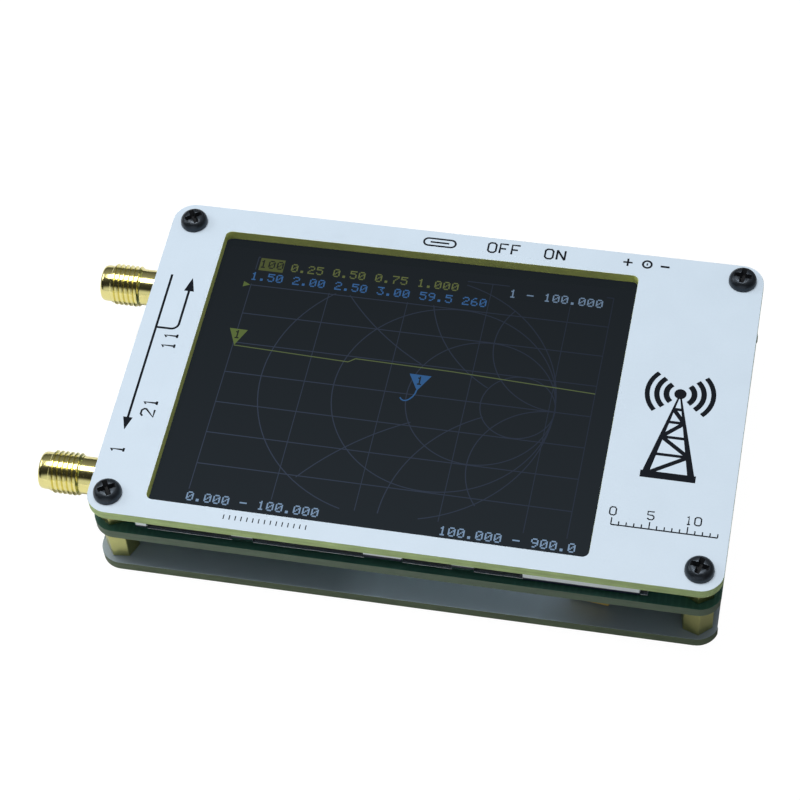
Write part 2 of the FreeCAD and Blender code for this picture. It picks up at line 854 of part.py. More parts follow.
def jog_housing():
    """The plastic housing of the jog switch, open below and with a mouth in front."""
    outer = block(jog_x - jog_length / 2, jog_x + jog_length / 2, jog_back, device_face,
                  jog_low, board_low)
    inner = block(jog_x - jog_length / 2 + jog_wall, jog_x + jog_length / 2 - jog_wall,
                  jog_back + jog_wall, device_face - jog_wall, jog_low - past, jog_roof_low)
    mouth = centred_block(jog_x, device_face, jog_mouth, 3 * jog_wall, jog_low - past, jog_roof_low)
    return less(outer, [inner, mouth])


def jog_cover():
    """The sheet-steel cover under the jog switch, with an ear up each end."""
    middle = device_face - jog_depth / 2
    pieces = [centred_block(jog_x, middle, jog_length + 2 * jog_sheet, jog_depth,
                            jog_low - jog_sheet, jog_low)]
    for side in (-1, 1):
        pieces.append(centred_block(jog_x + side * (jog_length + jog_sheet) / 2, middle, jog_sheet,
                                    jog_ear_length, jog_low - jog_sheet,
                                    jog_low - jog_sheet + jog_ear_height))
    return joined(pieces)


def jog_carrier():
    """The plate that slides in when the lever is pressed, with the lever's pivot pin."""
    plate_part = block(jog_x - jog_plate_length / 2, jog_x + jog_plate_length / 2,
                       jog_pivot_y - jog_hub_radius, jog_pivot_y + jog_hub_radius,
                       jog_plate_low, jog_plate_high)
    pin = rod(jog_pivot_radius, vector(jog_x, jog_pivot_y, jog_plate_high),
              vector(jog_x, jog_pivot_y, jog_low + jog_clearance))
    return joined([plate_part, pin])


def jog_lever():
    """The lever: a hub on the pivot pin, an arm through the mouth and a finger paddle."""
    hub = rod(jog_hub_radius, vector(jog_x, jog_pivot_y, jog_hub_low),
              vector(jog_x, jog_pivot_y, jog_hub_high))
    inner_face = device_face + jog_paddle_gap
    outer_face = inner_face + jog_paddle_depth
    arm = block(jog_x - jog_arm_width / 2, jog_x + jog_arm_width / 2,
                jog_pivot_y, inner_face + jog_paddle_depth / 2, jog_hub_low, jog_hub_high)
    paddle = rounded_block(jog_x - jog_paddle_width / 2, jog_x + jog_paddle_width / 2,
                           inner_face, outer_face, jog_hub_low - jog_clearance,
                           jog_hub_high + jog_clearance, jog_paddle_round)
    hole = rod(jog_pivot_radius + jog_pivot_clearance,
               vector(jog_x, jog_pivot_y, jog_hub_low - past),
               vector(jog_x, jog_pivot_y, jog_hub_high + past))
    return less(joined([hub, arm, paddle]), [hole])


def jog_spring():
    """The centring spring under the hub, as closed turns round the pivot pin."""
    radius = jog_pivot_radius + jog_pivot_clearance + jog_spring_wire
    turns = []
    for number in range(jog_spring_turns):
        z = jog_hub_low - jog_clearance - jog_spring_wire * (1 + 2 * number)
        turns.append(Part.makeTorus(radius, jog_spring_wire, vector(jog_x, jog_pivot_y, z), Z_AXIS))
    return turns


def jog_contacts():
    """The press contact's dome at the back of the jog switch, and its terminals."""
    middle = (jog_roof_low + jog_low) / 2
    dome = Part.makeCone(jog_dome_radius, jog_dome_tip_radius, jog_dome_height,
                         vector(jog_x, jog_back + jog_wall, middle), Y_AXIS)
    pieces = [dome]
    for number in range(jog_terminal_count):
        x = jog_x + (number - (jog_terminal_count - 1) / 2) * jog_terminal_pitch
        pieces.append(block(x - jog_terminal_width / 2, x + jog_terminal_width / 2,
                            jog_back - jog_terminal_length, jog_back,
                            board_low - jog_terminal_sheet, board_low))
    return pieces


# ---- battery ----

def on_battery(shape):
    """Turn and move a shape drawn from the battery's front corner to its place."""
    shape.rotate(vector(0, 0, 0), Z_AXIS, battery_turn)
    shape.translate(vector(battery_corner_x, battery_corner_y, 0))
    return shape


def pillow(x0, x1, y0, y1, z0, z1, radius):
    """A block whose long edges, along X, are round."""
    body = block(x0, x1, y0, y1, z0, z1)
    long_edges = [edge for edge in body.Edges if edge.BoundBox.XLength > (x1 - x0) / 2]
    return body.makeFillet(radius, long_edges)


def battery_pouch():
    """The flat cell in its foil pouch."""
    sheet = battery_tape_sheet
    return on_battery(pillow(-battery_length, -battery_cell_gap, sheet, battery_width - sheet,
                             battery_low + sheet, battery_top - sheet, battery_round))


def battery_tape():
    """The tape round the cell's terminal end, which also holds the guard board."""
    sheet = battery_tape_sheet
    outer = pillow(-battery_tape_length, 0, 0, battery_width, battery_low, battery_top, battery_round)
    inner = pillow(-battery_tape_length - past, -sheet, sheet, battery_width - sheet,
                   battery_low + sheet, battery_top - sheet, battery_round)
    holes = [rod(lead_radius + lead_fit, vector(-past, y, battery_middle),
                 vector(past, y, battery_middle)) for y in (red_lead_start, black_lead_start)]
    return on_battery(less(outer, [inner] + holes))


def guard_board():
    """The small protection board at the cell's terminal end."""
    end = -guard_board_end_gap
    return on_battery(block(end - guard_board_width, end, guard_board_side_gap,
                            battery_width - guard_board_side_gap,
                            battery_middle - guard_board_thickness / 2,
                            battery_middle + guard_board_thickness / 2))


def battery_foam_pad():
    """The adhesive pad between the cell and the back cover."""
    border = battery_pad_border
    return on_battery(block(border - battery_length, -border - battery_tape_length,
                            border, battery_width - border,
                            back_high, battery_low + battery_tape_sheet))


def lead(points, radius):
    """A lead along straight runs that are joined by tangent arcs."""
    edges = []
    start = points[0]
    for number in range(1, len(points) - 1):
        before = points[number - 1].sub(points[number])
        after = points[number + 1].sub(points[number])
        run = lead_bend_share * min(before.Length, after.Length)
        half_turn = (math.pi - before.getAngle(after)) / 2
        bend = run / math.tan(half_turn)
        before.normalize()
        after.normalize()
        entry = points[number].add(before * run)
        leave = points[number].add(after * run)
        middle = before.add(after)
        middle.normalize()
        centre = points[number].add(middle * math.hypot(run, bend))
        edges.append(Part.makeLine(start, entry))
        edges.append(Part.Arc(entry, centre.sub(middle * bend), leave).toShape())
        start = leave
    edges.append(Part.makeLine(start, points[-1]))
    path = Part.Wire(edges)
    along = points[1].sub(points[0])
    profile = Part.Wire(Part.makeCircle(radius, points[0], along))
    return path.makePipeShell([profile], True, True)


def lead_points(start, route):
    """A lead's points: out of the battery tape, along its route and under the board."""
    points = []
    for x in (-guard_board_end_gap, route[0]):
        place = Part.Vertex(x, start, battery_middle)
        points.append(on_battery(place).Point)
    high = board_low - lead_radius
    for x, y, drop in route[1]:
        points.append(vector(x, y, high - drop))
    return points


# Each lead: how far it runs straight out of the tape, then places and drops below the board.
red_route = (3.2, ((35.9, -5.0, 2.7), (35.5, 1.5, 1.0), (34.7, 7.5, 0.0), (34.0, 12.0, 0.0)))
black_route = (4.6, ((37.2, -8.9, 2.7), (37.6, -2.5, 1.0), (37.3, 4.0, 0.0), (36.7, 9.0, 0.0)))


def battery_solder(leads):
    """The two beads of solder that hold the leads under the board."""
    beads = []
    for (straight, places), wire in zip((red_route, black_route), leads):
        x, y, drop = places[-1]
        bead = Part.makeCone(lead_solder_radius, lead_solder_tip, lead_solder_height,
                             vector(x, y + lead_solder_tip, board_low), vector(0, 0, -1))
        beads.append(bead.cut(wire))
    return beads


# ---- parts on the underside of the main board ----

def on_board(place):
    """A place on the board, from its port end and its switch edge, in the frame's X and Y."""
    return place[0] - half_length, half_width - place[1]


def chip_body(chip):
    """A moulded chip body, hung below the board by its leads."""
    place, size, height = chip[:3]
    x, y = on_board(place)
    return centred_block(x, y, size[0], size[1], board_low - height, board_low - chip_standoff)


def chip_lead(x, y, width, middle, turn):
    """A gull-wing lead from a chip's side down to its pad, turned to face that side."""
    sheet = chip_lead_sheet
    knee = chip_lead_knee
    half = width / 2
    shape = joined([block(0, knee + sheet, -half, half, middle - sheet / 2, middle + sheet / 2),
                    block(knee, knee + sheet, -half, half, middle - sheet / 2, board_low),
                    block(knee, chip_lead_reach, -half, half, board_low - sheet, board_low)])
    shape.rotate(vector(0, 0, 0), Z_AXIS, turn)
    shape.translate(vector(x, y, 0))
    return shape


def chip_leads(chip, counts):
    """All the leads of one chip."""
    place, (length, width), height, pitch, lead_width = chip
    x_side, y_side = counts
    x, y = on_board(place)
    middle = board_low - (height + chip_standoff) / 2
    leads = []
    for turn, count, reach in ((0, x_side, length), (180, x_side, length),
                               (90, y_side, width), (270, y_side, width)):
        angle = math.radians(turn)
        for number in range(count):
            side = (number - (count - 1) / 2) * pitch
            px = x + reach / 2 * math.cos(angle) - side * math.sin(angle)
            py = y + reach / 2 * math.sin(angle) + side * math.cos(angle)
            leads.append(chip_lead(px, py, lead_width, middle, turn))
    return leads


def codec():
    """The leadless chip that takes in and puts out the tones."""
    x, y = on_board(codec_place)
    return centred_block(x, y, codec_size, codec_size,
                         board_low - codec_height, board_low - codec_pad_sheet)


def codec_pads():
    """The pads under the four edges of the leadless chip."""
    x, y = on_board(codec_place)
    pads = []
    for number in range(codec_pads_per_side):
        side = (number - (codec_pads_per_side - 1) / 2) * codec_pad_pitch
        reach = (codec_size - codec_pad_length) / 2
        low = board_low - codec_pad_sheet
        for sign in (-1, 1):
            pads.append(centred_block(x + sign * reach, y + side, codec_pad_length,
                                      codec_pad_width, low, board_low))
            pads.append(centred_block(x + side, y + sign * reach, codec_pad_width,
                                      codec_pad_length, low, board_low))
    return pads


def row_places(rows):
    """Every place in some rows of small parts."""
    places = []
    for (x, y), (step_x, step_y), count in rows:
        for number in range(count):
            place = on_board((x + step_x * number, y + step_y * number))
            places.append((*place, step_x != 0))
    return places


def small_parts(rows, height):
    """The middles and the metal ends of small parts; they stand across their row."""
    middles = []
    ends = []
    inner = passive_length - 2 * passive_end
    for x, y, along_x in row_places(rows):
        length, width = (passive_width, inner) if along_x else (inner, passive_width)
        middles.append(centred_block(x, y, length, width, board_low - height, board_low))
        for side in (-1, 1):
            reach = side * (passive_length - passive_end) / 2
            end_x, end_y = (x, y + reach) if along_x else (x + reach, y)
            length, width = (passive_width, passive_end) if along_x else (passive_end, passive_width)
            ends.append(centred_block(end_x, end_y, length, width, board_low - height, board_low))
    return middles, ends


def metal_can(place):
    """A small metal-lidded can, such as a crystal's."""
    x, y = on_board(place)
    return rounded_block(x - can_length / 2, x + can_length / 2, y - can_width / 2,
                         y + can_width / 2, board_low - can_height, board_low, can_corner)


def inductor():
    """The square power inductor beside the charger."""
    x, y = on_board(inductor_place)
    half = inductor_size / 2
    return rounded_block(x - half, x + half, y - half, y + half,
                         board_low - inductor_height, board_low, inductor_corner)


def status_lamps():
    """The two small lamps at the board's edge."""
    y = half_width - led_edge_gap - led_width / 2
    return [centred_block(half_length - distance, y, led_length, led_width,
                          board_low - led_height, board_low) for distance in led_from_ribbon_end]


os.makedirs("parts", exist_ok=True)

write("front_cover", front_cover())
write("main_board", main_board())
write("back_cover", plate(back_low, cover_thickness))
write("top_screws", *top_screws())
write("bottom_screws", *bottom_screws())
write("upper_standoffs", *upper_standoffs())
write("lower_standoffs", *lower_standoffs())

write("display_tape", display_foam_tape())
write("display_tray", display_tray())
write("display_frame", display_frame())
write("light_guide", light_guide())
write("backlights", *backlights())
write("screen_glass", screen_glass())
write("touch_panel", touch_panel())
write("display_ribbon", display_ribbon())

for name, place_y in (("port_1", port_1_y), ("port_2", port_2_y)):
    write(name + "_shell", port_shell(place_y))
    write(name + "_insulator", port_insulator(place_y))
    write(name + "_contact", port_contact(place_y))

write("usb_shell", usb_shell())
write("usb_body", usb_body())
write("usb_contacts", *usb_contacts())

write("switch_shell", switch_shell())
write("switch_base", switch_base())
write("switch_terminals", *switch_terminals())
write("switch_slider", switch_slider())
write("switch_clip", switch_clip())

write("jog_housing", jog_housing())
write("jog_cover", jog_cover())
write("jog_carrier", jog_carrier())
write("jog_lever", jog_lever())
write("jog_spring", *jog_spring())
write("jog_contacts", *jog_contacts())

write("battery_pouch", battery_pouch())
write("battery_tape", battery_tape())
write("battery_guard_board", guard_board())
write("battery_pad", battery_foam_pad())
red_lead = lead(lead_points(red_lead_start, red_route), lead_radius)
black_lead = lead(lead_points(black_lead_start, black_route), lead_radius)
write("battery_lead_red", red_lead)
write("battery_lead_black", black_lead)
write("battery_solder", *battery_solder((red_lead, black_lead)))

leads = (chip_leads(microcontroller, microcontroller_lead_count)
         + chip_leads(clock_chip, clock_lead_count)
         + chip_leads(charger_chip, charger_lead_count))
for chip in mixer_chips:
    leads += chip_leads(chip, mixer_lead_count)
for chip in regulators:
    leads += chip_leads(chip, regulator_lead_count)
capacitor_middles, capacitor_ends = small_parts(capacitor_rows, capacitor_height)
resistor_middles, resistor_ends = small_parts(resistor_rows, resistor_height)
write("microcontroller", chip_body(microcontroller))
write("clock_chip", chip_body(clock_chip))
write("charger_chip", chip_body(charger_chip))
write("mixer_chips", *[chip_body(chip) for chip in mixer_chips])
write("regulators", *[chip_body(chip) for chip in regulators])
write("audio_codec", codec())
write("codec_pads", *codec_pads())
write("chip_leads", *leads)
write("capacitors", *capacitor_middles)
write("resistors", *resistor_middles)
write("small_part_ends", *(capacitor_ends + resistor_ends))
write("inductor", inductor())
write("reference_oscillator", metal_can(oscillator_place))
write("crystal", metal_can(crystal_place))
write("status_lamps", *status_lamps())
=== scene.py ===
# %% [markdown]
# # An open-frame antenna analyzer
#
# The real thing is a stack of three circuit boards on hex standoffs. A touch display lies between
# the front cover and the main board, and the battery lies under the main board. Two gold coaxial
# ports stand out of one end. The CAD model, which is loaded here, holds every piece at its true
# place. This lesson gives the pieces their surfaces, rounds their edges, and models again those
# that the CAD keeps plain: threads, screw heads, the printed legend and what the display shows.
#
# All lengths are in metres, so MM turns a length in millimetres into the script's unit.

# %% Load the CAD model
import json
import math

import bpy
from mathutils import Matrix, Vector

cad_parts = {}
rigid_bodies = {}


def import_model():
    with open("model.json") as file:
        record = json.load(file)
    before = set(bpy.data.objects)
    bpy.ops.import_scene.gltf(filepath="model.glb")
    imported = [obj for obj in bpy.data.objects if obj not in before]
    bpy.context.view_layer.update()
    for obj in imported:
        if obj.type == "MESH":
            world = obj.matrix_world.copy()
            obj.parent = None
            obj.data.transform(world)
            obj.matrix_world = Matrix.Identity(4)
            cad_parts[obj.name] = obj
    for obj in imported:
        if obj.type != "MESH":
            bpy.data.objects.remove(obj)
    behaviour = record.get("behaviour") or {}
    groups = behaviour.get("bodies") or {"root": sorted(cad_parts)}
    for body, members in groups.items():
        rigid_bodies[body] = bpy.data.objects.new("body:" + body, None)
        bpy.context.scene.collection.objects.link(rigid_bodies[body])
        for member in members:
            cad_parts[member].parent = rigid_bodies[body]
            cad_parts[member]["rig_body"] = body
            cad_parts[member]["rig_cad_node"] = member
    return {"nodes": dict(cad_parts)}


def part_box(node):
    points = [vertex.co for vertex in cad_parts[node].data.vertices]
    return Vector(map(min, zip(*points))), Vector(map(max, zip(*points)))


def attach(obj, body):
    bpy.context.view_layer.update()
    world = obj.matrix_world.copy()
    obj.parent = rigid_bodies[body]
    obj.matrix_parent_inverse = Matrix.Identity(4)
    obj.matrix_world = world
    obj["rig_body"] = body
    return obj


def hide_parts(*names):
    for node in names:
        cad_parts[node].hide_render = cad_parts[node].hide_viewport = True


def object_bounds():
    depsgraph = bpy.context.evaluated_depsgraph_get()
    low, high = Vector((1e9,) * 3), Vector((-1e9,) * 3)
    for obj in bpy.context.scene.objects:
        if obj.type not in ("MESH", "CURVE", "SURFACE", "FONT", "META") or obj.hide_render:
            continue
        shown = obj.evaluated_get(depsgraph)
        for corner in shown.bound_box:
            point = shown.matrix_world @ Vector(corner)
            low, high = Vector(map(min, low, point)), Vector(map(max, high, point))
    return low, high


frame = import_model()
cad_low, cad_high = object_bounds()
MM = 0.001
print("nodes", len(frame["nodes"]), "size in mm", [round(v / MM, 1) for v in cad_high - cad_low])

# %% [markdown]
# ## Working with operators
#
# Blender's operators act on what is selected, as they do when a person works by hand. After the
# load every CAD node is selected, so each step starts by deselecting everything. The helpers here
# do that, and pick faces or edges by a rule, such as "all faces that look up". Selecting by a rule
# keeps working when a size changes, and a list of face numbers wouldn't.

# %% Helpers for selecting
def start_piece():
    """Object mode, with nothing selected."""
    if bpy.context.object and bpy.context.object.mode != "OBJECT":
        bpy.ops.object.mode_set(mode="OBJECT")
    bpy.ops.object.select_all(action="DESELECT")


def only(*pieces):
    """Select these pieces and nothing else; the first one is the active one."""
    start_piece()
    for piece in pieces:
        piece.select_set(True)
    bpy.context.view_layer.objects.active = pieces[0]


def edit_all(piece):
    """Edit mode, with everything selected."""
    only(piece)
    bpy.ops.object.mode_set(mode="EDIT")
    bpy.ops.mesh.select_all(action="SELECT")


def leave_edit():
    """Back to object mode."""
    bpy.ops.object.mode_set(mode="OBJECT")


def pick(piece, kind, elements, rule):
    """Edit mode, with exactly those faces or edges selected that a rule accepts."""
    only(piece)
    bpy.ops.object.mode_set(mode="EDIT")
    bpy.ops.mesh.select_mode(type=kind)
    bpy.ops.mesh.select_all(action="DESELECT")
    leave_edit()
    for element in elements:
        element.select = rule(element)
    bpy.ops.object.mode_set(mode="EDIT")


def pick_faces(piece, rule):
    """Select the faces that a rule accepts."""
    pick(piece, "FACE", piece.data.polygons, rule)


def pick_edges(piece, rule):
    """Select the edges whose two ends a rule accepts."""
    points = piece.data.vertices
    pick(piece, "EDGE", piece.data.edges,
         lambda edge: rule(points[edge.vertices[0]].co, points[edge.vertices[1]].co))


# %% Helpers for shaping, with sizes in metres unless they say otherwise
def apply_place():
    """Put the place, turn and scale of the selected pieces into their meshes."""
    bpy.ops.object.transform_apply(location=True, rotation=True, scale=True)


def apply_modifier(piece, kind, **settings):
    """Add a modifier, set it and apply it."""
    only(piece)
    modifier = piece.modifiers.new(kind.lower(), kind)
    for name, value in settings.items():
        setattr(modifier, name, value)
    bpy.ops.object.modifier_apply(modifier=modifier.name)


def soften(piece, width, segments=2, angle=30):
    """A bevel, in millimetres, on all edges sharper than an angle."""
    apply_modifier(piece, "BEVEL", width=width * MM, segments=segments, limit_method="ANGLE",
                   angle_limit=math.radians(angle))


def bevel_edges(piece, rule, width, segments=2):
    """A bevel on the edges that a rule accepts."""
    pick_edges(piece, rule)
    bpy.ops.mesh.bevel(offset=width, segments=segments)
    leave_edit()


def move_faces(piece, rule, right=0, back=0, up=0):
    """Move the faces that a rule accepts, in millimetres."""
    pick_faces(piece, rule)
    bpy.ops.transform.translate(value=(right * MM, back * MM, up * MM))
    leave_edit()


def delete_faces(piece, rule, kind="FACE"):
    """Delete the faces that a rule accepts."""
    pick_faces(piece, rule)
    bpy.ops.mesh.delete(type=kind)
    leave_edit()


def face_outwards(piece, doubles=0, holes=None):
    """Merge points that are nearer than doubles, fill holes, and turn all faces outwards."""
    edit_all(piece)
    if doubles:
        bpy.ops.mesh.remove_doubles(threshold=doubles)
    if holes is not None:
        bpy.ops.mesh.fill_holes(sides=holes)
        bpy.ops.mesh.select_all(action="SELECT")
    bpy.ops.mesh.normals_make_consistent(inside=False)
    leave_edit()


def thicken(piece, height):
    """Turn a flat drawing face up and give it a height."""
    if piece.data.polygons[0].normal.z < 0:
        piece.data.flip_normals()
    apply_modifier(piece, "SOLIDIFY", thickness=height, offset=1)


def block(centre, size, turn=0.0):
    """A box to start from, turned about the vertical."""
    start_piece()
    bpy.ops.mesh.primitive_cube_add(size=1, location=centre, rotation=(0, 0, turn))
    piece = bpy.context.object
    piece.scale = size
    apply_place()
    return piece


def cylinder(sides, radius, low, high, x=0.0, y=0.0, turn=0.0):
    """An upright cylinder to start from, between two heights."""
    start_piece()
    bpy.ops.mesh.primitive_cylinder_add(vertices=sides, radius=radius, depth=high - low,
                                        location=(x, y, (low + high) / 2), rotation=(0, 0, turn))
    apply_place()
    return bpy.context.object


# %% Helpers for finishing a piece
def remove(*pieces):
    """Delete pieces that only served to make others."""
    only(*pieces)
    bpy.ops.object.delete()


def boolean(piece, tool, operation):
    """Cut a piece with a tool, which is used up."""
    apply_modifier(piece, "BOOLEAN", object=tool, operation=operation, solver="EXACT")
    remove(tool)


def copy_of(piece):
    """A copy with its own mesh."""
    twin = piece.copy()
    twin.data = piece.data.copy()
    bpy.context.scene.collection.objects.link(twin)
    return twin


def joined(pieces):
    """Several pieces as one object."""
    only(*pieces)
    if len(pieces) > 1:
        bpy.ops.object.join()
    return bpy.context.object


def dress(piece, finish):
    """Give a piece this finish and no other."""
    piece.data.materials.clear()
    piece.data.materials.append(finish)


def settle(piece, name, body="chassis", stands_for=(), smooth=35):
    """Fix a finished piece's place in its mesh, shade it and let it ride on its body."""
    only(piece)
    apply_place()
    if smooth:
        bpy.ops.object.shade_smooth_by_angle(angle=math.radians(smooth))
        # Large faces keep their own flat normals, and only the narrow bevels between them curve.
        apply_modifier(piece, "WEIGHTED_NORMAL", keep_sharp=True)
    piece.name = name
    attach(piece, body)
    if stands_for:
        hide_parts(*stands_for)
    return piece


def finished(pieces, finish, name, smooth, stands_for=()):
    """Join pieces, and dress and settle them as one."""
    whole = joined(pieces)
    dress(whole, finish)
    settle(whole, name, stands_for=stands_for, smooth=smooth)
    print(name, len(whole.data.polygons), "faces")


# %% [markdown]
# ## Camera
#
# The camera comes first, so that each later step can be judged in the same view. It stands in
# front and a little to the right, 54 degrees above the plane of the covers, and looks through a
# long lens from about a third of a metre away. Its three axes are given as vectors, and the
# rotation is the matrix that has them as columns.

# %% Camera
camera_place = Vector((48.460, -191.753, 287.412)) * MM
camera_right = Vector((0.98025, 0.18914, -0.05779))
camera_up = Vector((-0.12087, 0.80422, 0.58191))
camera_back = Vector((0.15654, -0.56343, 0.81120))
camera_data = bpy.data.cameras.new("camera")
camera_data.lens = 110.29
camera_data.sensor_width = 36
camera_data.clip_start = 0.01
camera = bpy.data.objects.new("camera", camera_data)
bpy.context.scene.collection.objects.link(camera)
turn = Matrix((camera_right, camera_up, camera_back)).transposed()
camera.matrix_world = Matrix.Translation(camera_place) @ turn.to_4x4()
bpy.context.scene.camera = camera
print("camera is", round((camera_place - Vector((0, 0, cad_high.z))).length / MM), "mm away")

# %% [markdown]
# ## Node trees
#
# A surface, the world and the floor are each a tree of shader nodes. In these helpers a socket is
# fed with a plain value or with another node's output, so that a node is made and wired in one
# call. The Principled shader stays in the material, and what several finishes share becomes a node
# group further on.

# %% Helpers for node trees
def feed(tree, value, socket):
    """Link a socket to another node's output, or set it to a plain value."""
    if isinstance(value, bpy.types.NodeSocket):
        tree.links.new(value, socket)
    else:
        socket.default_value = value


def add_node(tree, kind, **sockets):
    """A new node with its inputs fed; their names have _ in place of spaces."""
    node = tree.nodes.new("ShaderNode" + kind)
    for name, value in sockets.items():
        feed(tree, value, node.inputs[name.replace("_", " ")])
    return node


def object_place(tree, output="Object"):
    """Where a point lies on the object, or another of the texture coordinates."""
    return add_node(tree, "TexCoord").outputs[output]


def axes_of(tree, vector):
    """The X, Y and Z of a vector."""
    return add_node(tree, "SeparateXYZ", Vector=vector).outputs


def ramp(tree, source, low, high, first=0.0, last=1.0):
    """A value that runs from first to last while the source runs from low to high."""
    return add_node(tree, "MapRange", Value=source, From_Min=low, From_Max=high, To_Min=first,
                    To_Max=last).outputs["Result"]


def calculate(tree, operation, *values):
    """The result of a math node on sockets or plain numbers."""
    node = add_node(tree, "Math")
    node.operation = operation
    for value, socket in zip(values, node.inputs):
        feed(tree, value, socket)
    return node.outputs[0]


def mix_values(tree, factor, first, second):
    """A number between two numbers."""
    return add_node(tree, "Mix", Factor=factor, A=first, B=second).outputs["Result"]


def mix_colours(tree, factor, first, second, blend="MIX"):
    """A colour from two colours, mixed in one of Blender's ways."""
    node = add_node(tree, "Mix")
    node.data_type = "RGBA"
    node.blend_type = blend
    for name, value in (("Factor_Float", factor), ("A_Color", first), ("B_Color", second)):
        feed(tree, value, next(one for one in node.inputs if one.identifier == name))
    return next(one for one in node.outputs if one.identifier == "Result_Color")


def show_mixed(tree, output, factor, first, second):
    """Show one shader or another, by a factor."""
    node = add_node(tree, "MixShader")
    for value, socket in zip((factor, first.outputs[0], second.outputs[0]), node.inputs):
        feed(tree, value, socket)
    feed(tree, node.outputs[0], tree.nodes[output].inputs["Surface"])


def new_finish(name, metallic=0.0, specular=0.5, coat=0.0):
    """A material with its Principled shader; the values that don't vary go on its own sockets."""
    finish = bpy.data.materials.new(name)
    finish.use_nodes = True
    shader = finish.node_tree.nodes["Principled BSDF"]
    shader.inputs["Metallic"].default_value = metallic
    shader.inputs["Specular IOR Level"].default_value = specular
    shader.inputs["Coat Weight"].default_value = coat
    shader.inputs["Coat Roughness"].default_value = 0.08
    return finish, finish.node_tree, shader


# %% [markdown]
# ## Floor, backdrop and light
#
# The object lies on a plain white ground. To the camera the ground and the world are plain white,
# and only a faint shadow stays. Metal mirrors the ground as white too, but the light that it
# throws up against the boards' edges is that of a grey ground, or the gap between the boards would
# fill with light. The world is bright overhead and dark near the horizon for the same reason.
# Metal also mirrors a bright wall in front, which gives gold its pale lower side below a dark
# band. A display of glass mirrors whatever stands behind the object at the height of the camera,
# so the main lamp hangs higher than that, a little behind the middle. A second lamp at the left
# lights the ends, and a weak low one in front reaches the edges between the boards. The strengths
# are set so that the white cover comes out just under white.

# %% Floor
start_piece()
bpy.ops.mesh.primitive_plane_add(size=4.0, location=(0, 0, 0))
floor = bpy.context.object
floor.name = "floor"
floor_finish, tree, shader = new_finish("pale_floor", specular=0.1)
rays = add_node(tree, "LightPath").outputs
seen_or_mirrored = calculate(tree, "MAXIMUM", rays["Is Camera Ray"], rays["Is Glossy Ray"])
# Painted shade on the ground as metal mirrors it: its right half is darker than its left half.
dimmer = ramp(tree, axes_of(tree, object_place(tree))["X"], 0.0, 0.05, 0.93, 0.35)
feed(tree, mix_values(tree, seen_or_mirrored, 0.5, dimmer), shader.inputs["Base Color"])
shader.inputs["Roughness"].default_value = 0.9
share_white = calculate(tree, "MULTIPLY", rays["Is Camera Ray"], 0.86)
show_mixed(tree, "Material Output", share_white, shader, add_node(tree, "Emission", Strength=1.14))
dress(floor, floor_finish)
print("the floor's finish has", len(tree.nodes), "nodes")

# %% World
world = bpy.data.worlds.new("studio")
bpy.context.scene.world = world
world.use_nodes = True
tree = world.node_tree
direction = axes_of(tree, object_place(tree, "Generated"))
rays = add_node(tree, "LightPath").outputs
sky = ramp(tree, direction["Z"], 0.0, 1.0, 0.04, 0.32)
dark_front = calculate(tree, "MULTIPLY", sky, ramp(tree, direction["Y"], 0.0, -0.2, 1.0, 0.1))
bright_wall = ramp(tree, direction["Y"], -0.78, -0.9, 0.0, 0.75)
mirrored = calculate(tree, "ADD", dark_front, bright_wall)
surroundings = tree.nodes["Background"]
surroundings.inputs["Color"].default_value = (0.93, 0.96, 1.0, 1)
feed(tree, mix_values(tree, rays["Is Glossy Ray"], sky, mirrored), surroundings.inputs["Strength"])
backdrop = add_node(tree, "Background", Color=(1, 1, 1, 1), Strength=1.0)
show_mixed(tree, "World Output", rays["Is Camera Ray"], surroundings, backdrop)
print("the world has", len(tree.nodes), "nodes")


# %% Lamps
def lamp(name, place, target, width, height, power):
    """A rectangular soft lamp at a place, turned towards a target."""
    light = bpy.data.lights.new(name, "AREA")
    light.shape = "RECTANGLE"
    light.size = width
    light.size_y = height
    light.energy = power
    lamp_object = bpy.data.objects.new(name, light)
    bpy.context.scene.collection.objects.link(lamp_object)
    lamp_object.location = place
    aim = Vector(target) - Vector(place)
    lamp_object.rotation_euler = aim.to_track_quat("-Z", "Y").to_euler()
    print(name, "is", round(aim.length, 2), "m away")
    return lamp_object


lamp("main_lamp", (-0.10, 0.10, 0.74), (-0.10, 0, 0), 0.5, 0.34, 3.85)
lamp("left_lamp", (-0.50, 0.08, 0.36), (-0.03, 0, 0.01), 0.3, 0.2, 0.6)
front_lamp = lamp("front_lamp", (-0.07, -0.20, 0.0085), (-0.01, -0.02, 0.006), 0.10, 0.01, 0.075)
front_lamp.visible_glossy = False

# %% [markdown]
# ## Colours and finishes
#
# Every surface gets a material of shader nodes. What several finishes share is a node group that
# is built once: a fine grain, dust that settles on faces that look up, and wear along edges. Each
# material then places the groups with its own values. Noise works in object coordinates, which are
# metres here because each piece's own origin is that of the whole object, so a scale of 1000 gives
# a pattern about a millimetre wide.


# %% Colours
def screen_colour(red, green, blue):
    """A colour given in the usual 0 to 255 steps, in the linear values that shaders use."""
    linear = []
    for value in (red, green, blue):
        share = value / 255
        linear.append(share / 12.92 if share <= 0.04045 else ((share + 0.055) / 1.055) ** 2.4)
    return tuple(linear) + (1.0,)


# %% Helpers for node groups
def new_group(name, inputs, outputs):
    """An empty node group with these sockets: name, kind and, for inputs, a first value."""
    group = bpy.data.node_groups.new(name, "ShaderNodeTree")
    for socket_name, kind, value in inputs:
        socket = group.interface.new_socket(socket_name, in_out="INPUT",
                                            socket_type="NodeSocket" + kind)
        socket.default_value = value
    for socket_name, kind in outputs:
        group.interface.new_socket(socket_name, in_out="OUTPUT", socket_type="NodeSocket" + kind)
    return group, group.nodes.new("NodeGroupInput").outputs, group.nodes.new("NodeGroupOutput").inputs


